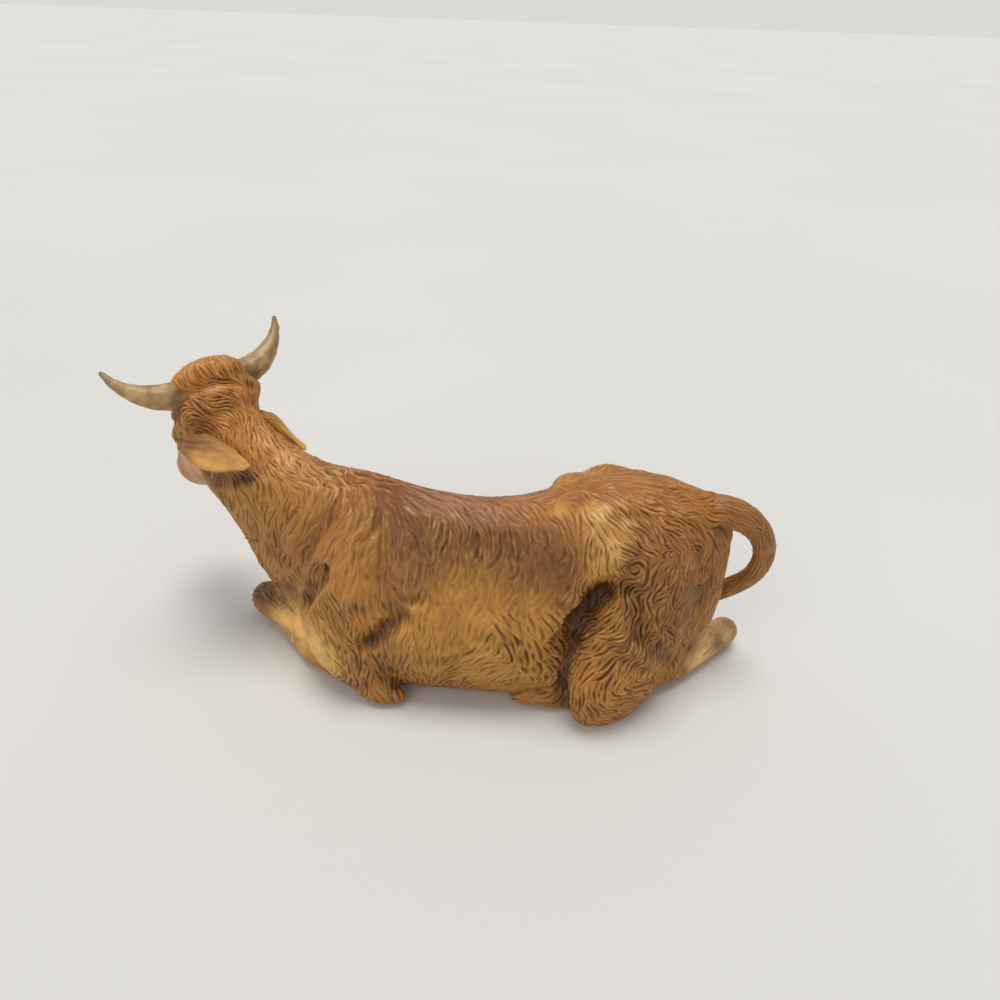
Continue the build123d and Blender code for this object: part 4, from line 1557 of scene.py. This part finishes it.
@dataclass
class Ear(Limblet):
    """An ear: a drooping leaf with a shallow hollow and a rolled rim.

    The side is -1 on the animal's left, and the arch, the cup and the back are in millimetres.
    """

    passes: int = 8
    side: int = -1
    arch: float = 0.0
    cup: float = 0.75
    back: float = 0.5
    cream: str = "eab05a"
    brown: str = "8d5a2c"

    def built(self, paint: bpy.types.Material) -> bpy.types.Object:
        """Shape and paint the ear.

        Args:
            paint: The coat's material.

        Returns:
            The finished piece.
        """
        # the leaf narrows towards its tip and droops there
        clay = self.clay()
        low, high = clay.points.min(0), clay.points.max(0)
        along = (clay.points[:, 0] - low[0]) / (high[0] - low[0])
        run = np.polyfit(clay.points[:, 0], clay.points[:, 2], 1)
        up = clay.points[:, 2] - np.polyval(run, clay.points[:, 0])
        half = np.abs(up).max()
        narrow = 1 - 0.85 * np.clip((along - 0.35) / 0.65, 0, 1) ** 1.5
        shift = up * narrow - 0.35 * half * (1 - narrow) - up
        clay.points[:, 2] += shift
        up = (up + shift) / half
        bow = self.arch * np.sin(math.pi * np.clip(along, 0, 1)) ** 1.5
        clay.points[:, 2] += bow * np.clip(0.6 + 0.6 * up, 0, 1.2)
        # hollow towards the outside, swollen behind
        normals = clay.normals()
        outward = self.side * normals[:, 1]
        cup = np.exp(-(((along - 0.55) / 0.30) ** 2)) * np.clip(1 - (up / 0.62) ** 2, 0, 1)
        cup *= np.clip(outward, 0, 1)
        back = np.clip(1 - (up / 0.8) ** 2, 0, 1) * np.clip(-outward, 0, 1)
        clay.points += normals * (self.back * back - self.cup * cup)[:, None]
        clay.points = np.clip(clay.points, low, high)
        normals = clay.normals()
        # fine hair along the leaf, brown near the root and on the upper rim
        way = np.tile(unit(np.array([1.0, 0.0, run[0]])), (len(clay.points), 1))
        fine = streaks(clay, way, 19, 8)
        hair = np.clip((up - 0.05) * 1.5, 0, 0.9) * np.clip(1.3 - along, 0, 1)
        hair += np.clip(1.15 - along * 3.6, 0, 0.9)
        clay.points += normals * ((0.04 + 0.10 * np.clip(hair, 0, 1)) * fine)[:, None]
        ground = plain(self.cream, len(clay.points))
        colour = blended(ground, self.brown, np.clip(hair + 0.10 * fine, 0, 0.9))
        # painted shade on the lower rim, which faces down, and in the cup's hollow, added to the wash
        underside_shade = np.clip(-normals[:, 2] * 1.4 - 0.1, 0, 0.85)
        wash_and_shade, crest = paint_maps(clay, np.zeros(len(clay.points)), 0.3)
        wash_and_shade = np.clip(0.4 * wash_and_shade + underside_shade + 0.45 * cup + 0.10 * np.clip(-fine, 0, 2), 0, 1)
        return self.closed(clay, {"paint": colour, "wash_and_shade": wash_and_shade, "crest": 0.5 * crest}, paint, "coat")


@dataclass
class Tail(Limblet):
    """The looped tail, combed along its length, and redder from the loop towards its root."""

    voxel: float = 0.7
    passes: int = 6
    red_end: float = 38.0
    red_span: float = 14.0
    ground: str = "ad7430"
    olive: str = "8d6430"
    red: str = "a96a30"

    def built(self, paint: bpy.types.Material) -> bpy.types.Object:
        """Comb, carve and paint the tail."""
        clay = self.clay()
        normals = clay.normals()
        way, sizes = Sculptor(clay).flow(TAIL_COMBS, "", normals)
        locks = Locks()
        locks.trace(clay, normals, way, sizes, 9)
        finer = clay.divided()
        # wash in the carving, with painted shade in the broader hollows
        wash_and_shade, crest = paint_maps(finer, locks.carve(finer))
        colour = plain(self.ground, len(finer.points))
        colour = blended(colour, self.olive, np.clip(0.5 + 0.5 * ripple(finer.points, 6.0, 41), 0, 1))
        loop = (finer.points[:, 0] - self.red_end) / self.red_span
        colour = blended(colour, self.red, np.clip(1 - loop, 0, 1))
        return self.closed(finer, {"paint": colour, "wash_and_shade": wash_and_shade, "crest": crest}, paint, "coat")


@dataclass
class Studio:
    """Pale floor, soft lamps and the camera at the photograph's station."""

    yard: Yard
    floor_size: float = 60.0
    floor: str = "e1e0dd"
    sky: float = 0.375
    cloud: str = "cfcecb"
    seen: str = "dad9d6"
    sensor: float = 36.0

    def built(self) -> None:
        """Set the floor, the lamps, the world and the camera."""
        bpy.ops.object.select_all(action="DESELECT")
        bpy.ops.mesh.primitive_plane_add(size=self.floor_size)
        plane = bpy.context.active_object
        plane.name = "floor"
        w = Wiring("floor_card")
        shade = w.mixed(w.noise(2.5, 2.0).band(0.3, 0.7) * 0.25, rgb(self.floor), rgb(self.cloud))
        plane.data.materials.append(w.surface(Base_Color=shade, Roughness=0.85))
        self.sun("key", (0.04, 0.08, 1.0), 30.0, 1.70, (1.0, 0.985, 0.955))
        self.sun("fill", (-0.55, -0.90, 0.70), 50.0, 0.55, (1.0, 0.99, 0.97))
        self.room()
        bpy.context.scene.view_settings.view_transform = "Standard"
        self.camera()

    def room(self) -> None:
        """A plain world: soft light from all sides, and the floor's tone where it shows or mirrors."""
        world = bpy.data.worlds.new("room")
        world.use_nodes = True
        nodes, links = world.node_tree.nodes, world.node_tree.links
        light = nodes["Background"]
        light.inputs["Color"].default_value = (1.0, 1.0, 1.0, 1.0)
        light.inputs["Strength"].default_value = self.sky
        shown = nodes.new("ShaderNodeBackground")
        shown.inputs["Color"].default_value = (*rgb(self.seen), 1.0)
        path = nodes.new("ShaderNodeLightPath")
        either = nodes.new("ShaderNodeMath")
        either.operation, either.use_clamp = "ADD", True
        links.new(path.outputs["Is Camera Ray"], either.inputs[0])
        links.new(path.outputs["Is Glossy Ray"], either.inputs[1])
        blend = nodes.new("ShaderNodeMixShader")
        links.new(either.outputs[0], blend.inputs[0])
        links.new(light.outputs[0], blend.inputs[1])
        links.new(shown.outputs[0], blend.inputs[2])
        links.new(blend.outputs[0], nodes["World Output"].inputs["Surface"])
        bpy.context.scene.world = world

    def sun(self, name: str, source: tuple, spread: float, power: float, tint: tuple) -> None:
        """Add one far, soft lamp.

        Args:
            name: The lamp's name.
            source: Which way it stands from the figurine.
            spread: Its apparent width in degrees.
            power: Its strength.
            tint: Its colour.
        """
        data = bpy.data.lights.new(name, "SUN")
        data.angle, data.energy, data.color = math.radians(spread), power, tint
        lamp = bpy.data.objects.new(name, data)
        lamp.rotation_euler = (-Vector(source)).to_track_quat("-Z", "Y").to_euler()
        bpy.context.scene.collection.objects.link(lamp)

    def camera(self) -> None:
        """Put the camera at the side station."""
        lens = LENSES[SIDE]
        right, up, ahead = lens.axes()
        data = bpy.data.cameras.new("camera")
        data.sensor_width = self.sensor
        data.lens = self.sensor * lens.focal / lens.frame
        data.clip_start, data.clip_end = 0.01, 20.0
        camera = bpy.data.objects.new("camera", data)
        turn = Matrix((right, up, -ahead)).transposed().to_4x4()
        camera.matrix_world = Matrix.Translation(Vector(self.yard.outward(np.array(lens.place)))) @ turn
        bpy.context.scene.collection.objects.link(camera)
        bpy.context.scene.camera = camera


def main() -> None:
    """Build the figurine piece by piece."""
    logging.basicConfig(level=logging.INFO, format="%(message)s", stream=sys.stdout)
    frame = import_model()
    yard = Yard()
    yard = Yard()
    LOG.info("home %s", yard.home.round(3).tolist())
    foundry = Foundry(yard, frame["nodes"])
    Studio(yard).built()
    coat, horn = CoatPaint().dressed("coat_paint"), HornPaint().dressed("horn_paint")
    cover = CoverPaint().dressed("cover_paint")
    pieces = Hide(foundry).built(coat)
    pieces.append(Horn(foundry, "left_horn", root=(-119.0, 4.3, 82.6)).built(horn))
    pieces.append(Horn(foundry, "right_horn", root=(-103.7, 22.0, 83.7)).built(horn))
    pieces.append(Ear(foundry, "left_ear").built(coat))
    pieces.append(Ear(foundry, "right_ear", side=1, arch=2.0).built(coat))
    pieces.append(Tail(foundry, "tail").built(coat))
    for piece in pieces:
        LOG.info("piece %s: %d faces", piece.name, len(piece.data.polygons))
    plate = frame["nodes"]["base_cover"]
    plate.data.materials.clear()
    plate.data.materials.append(cover)


if __name__ == "__main__":
    main()
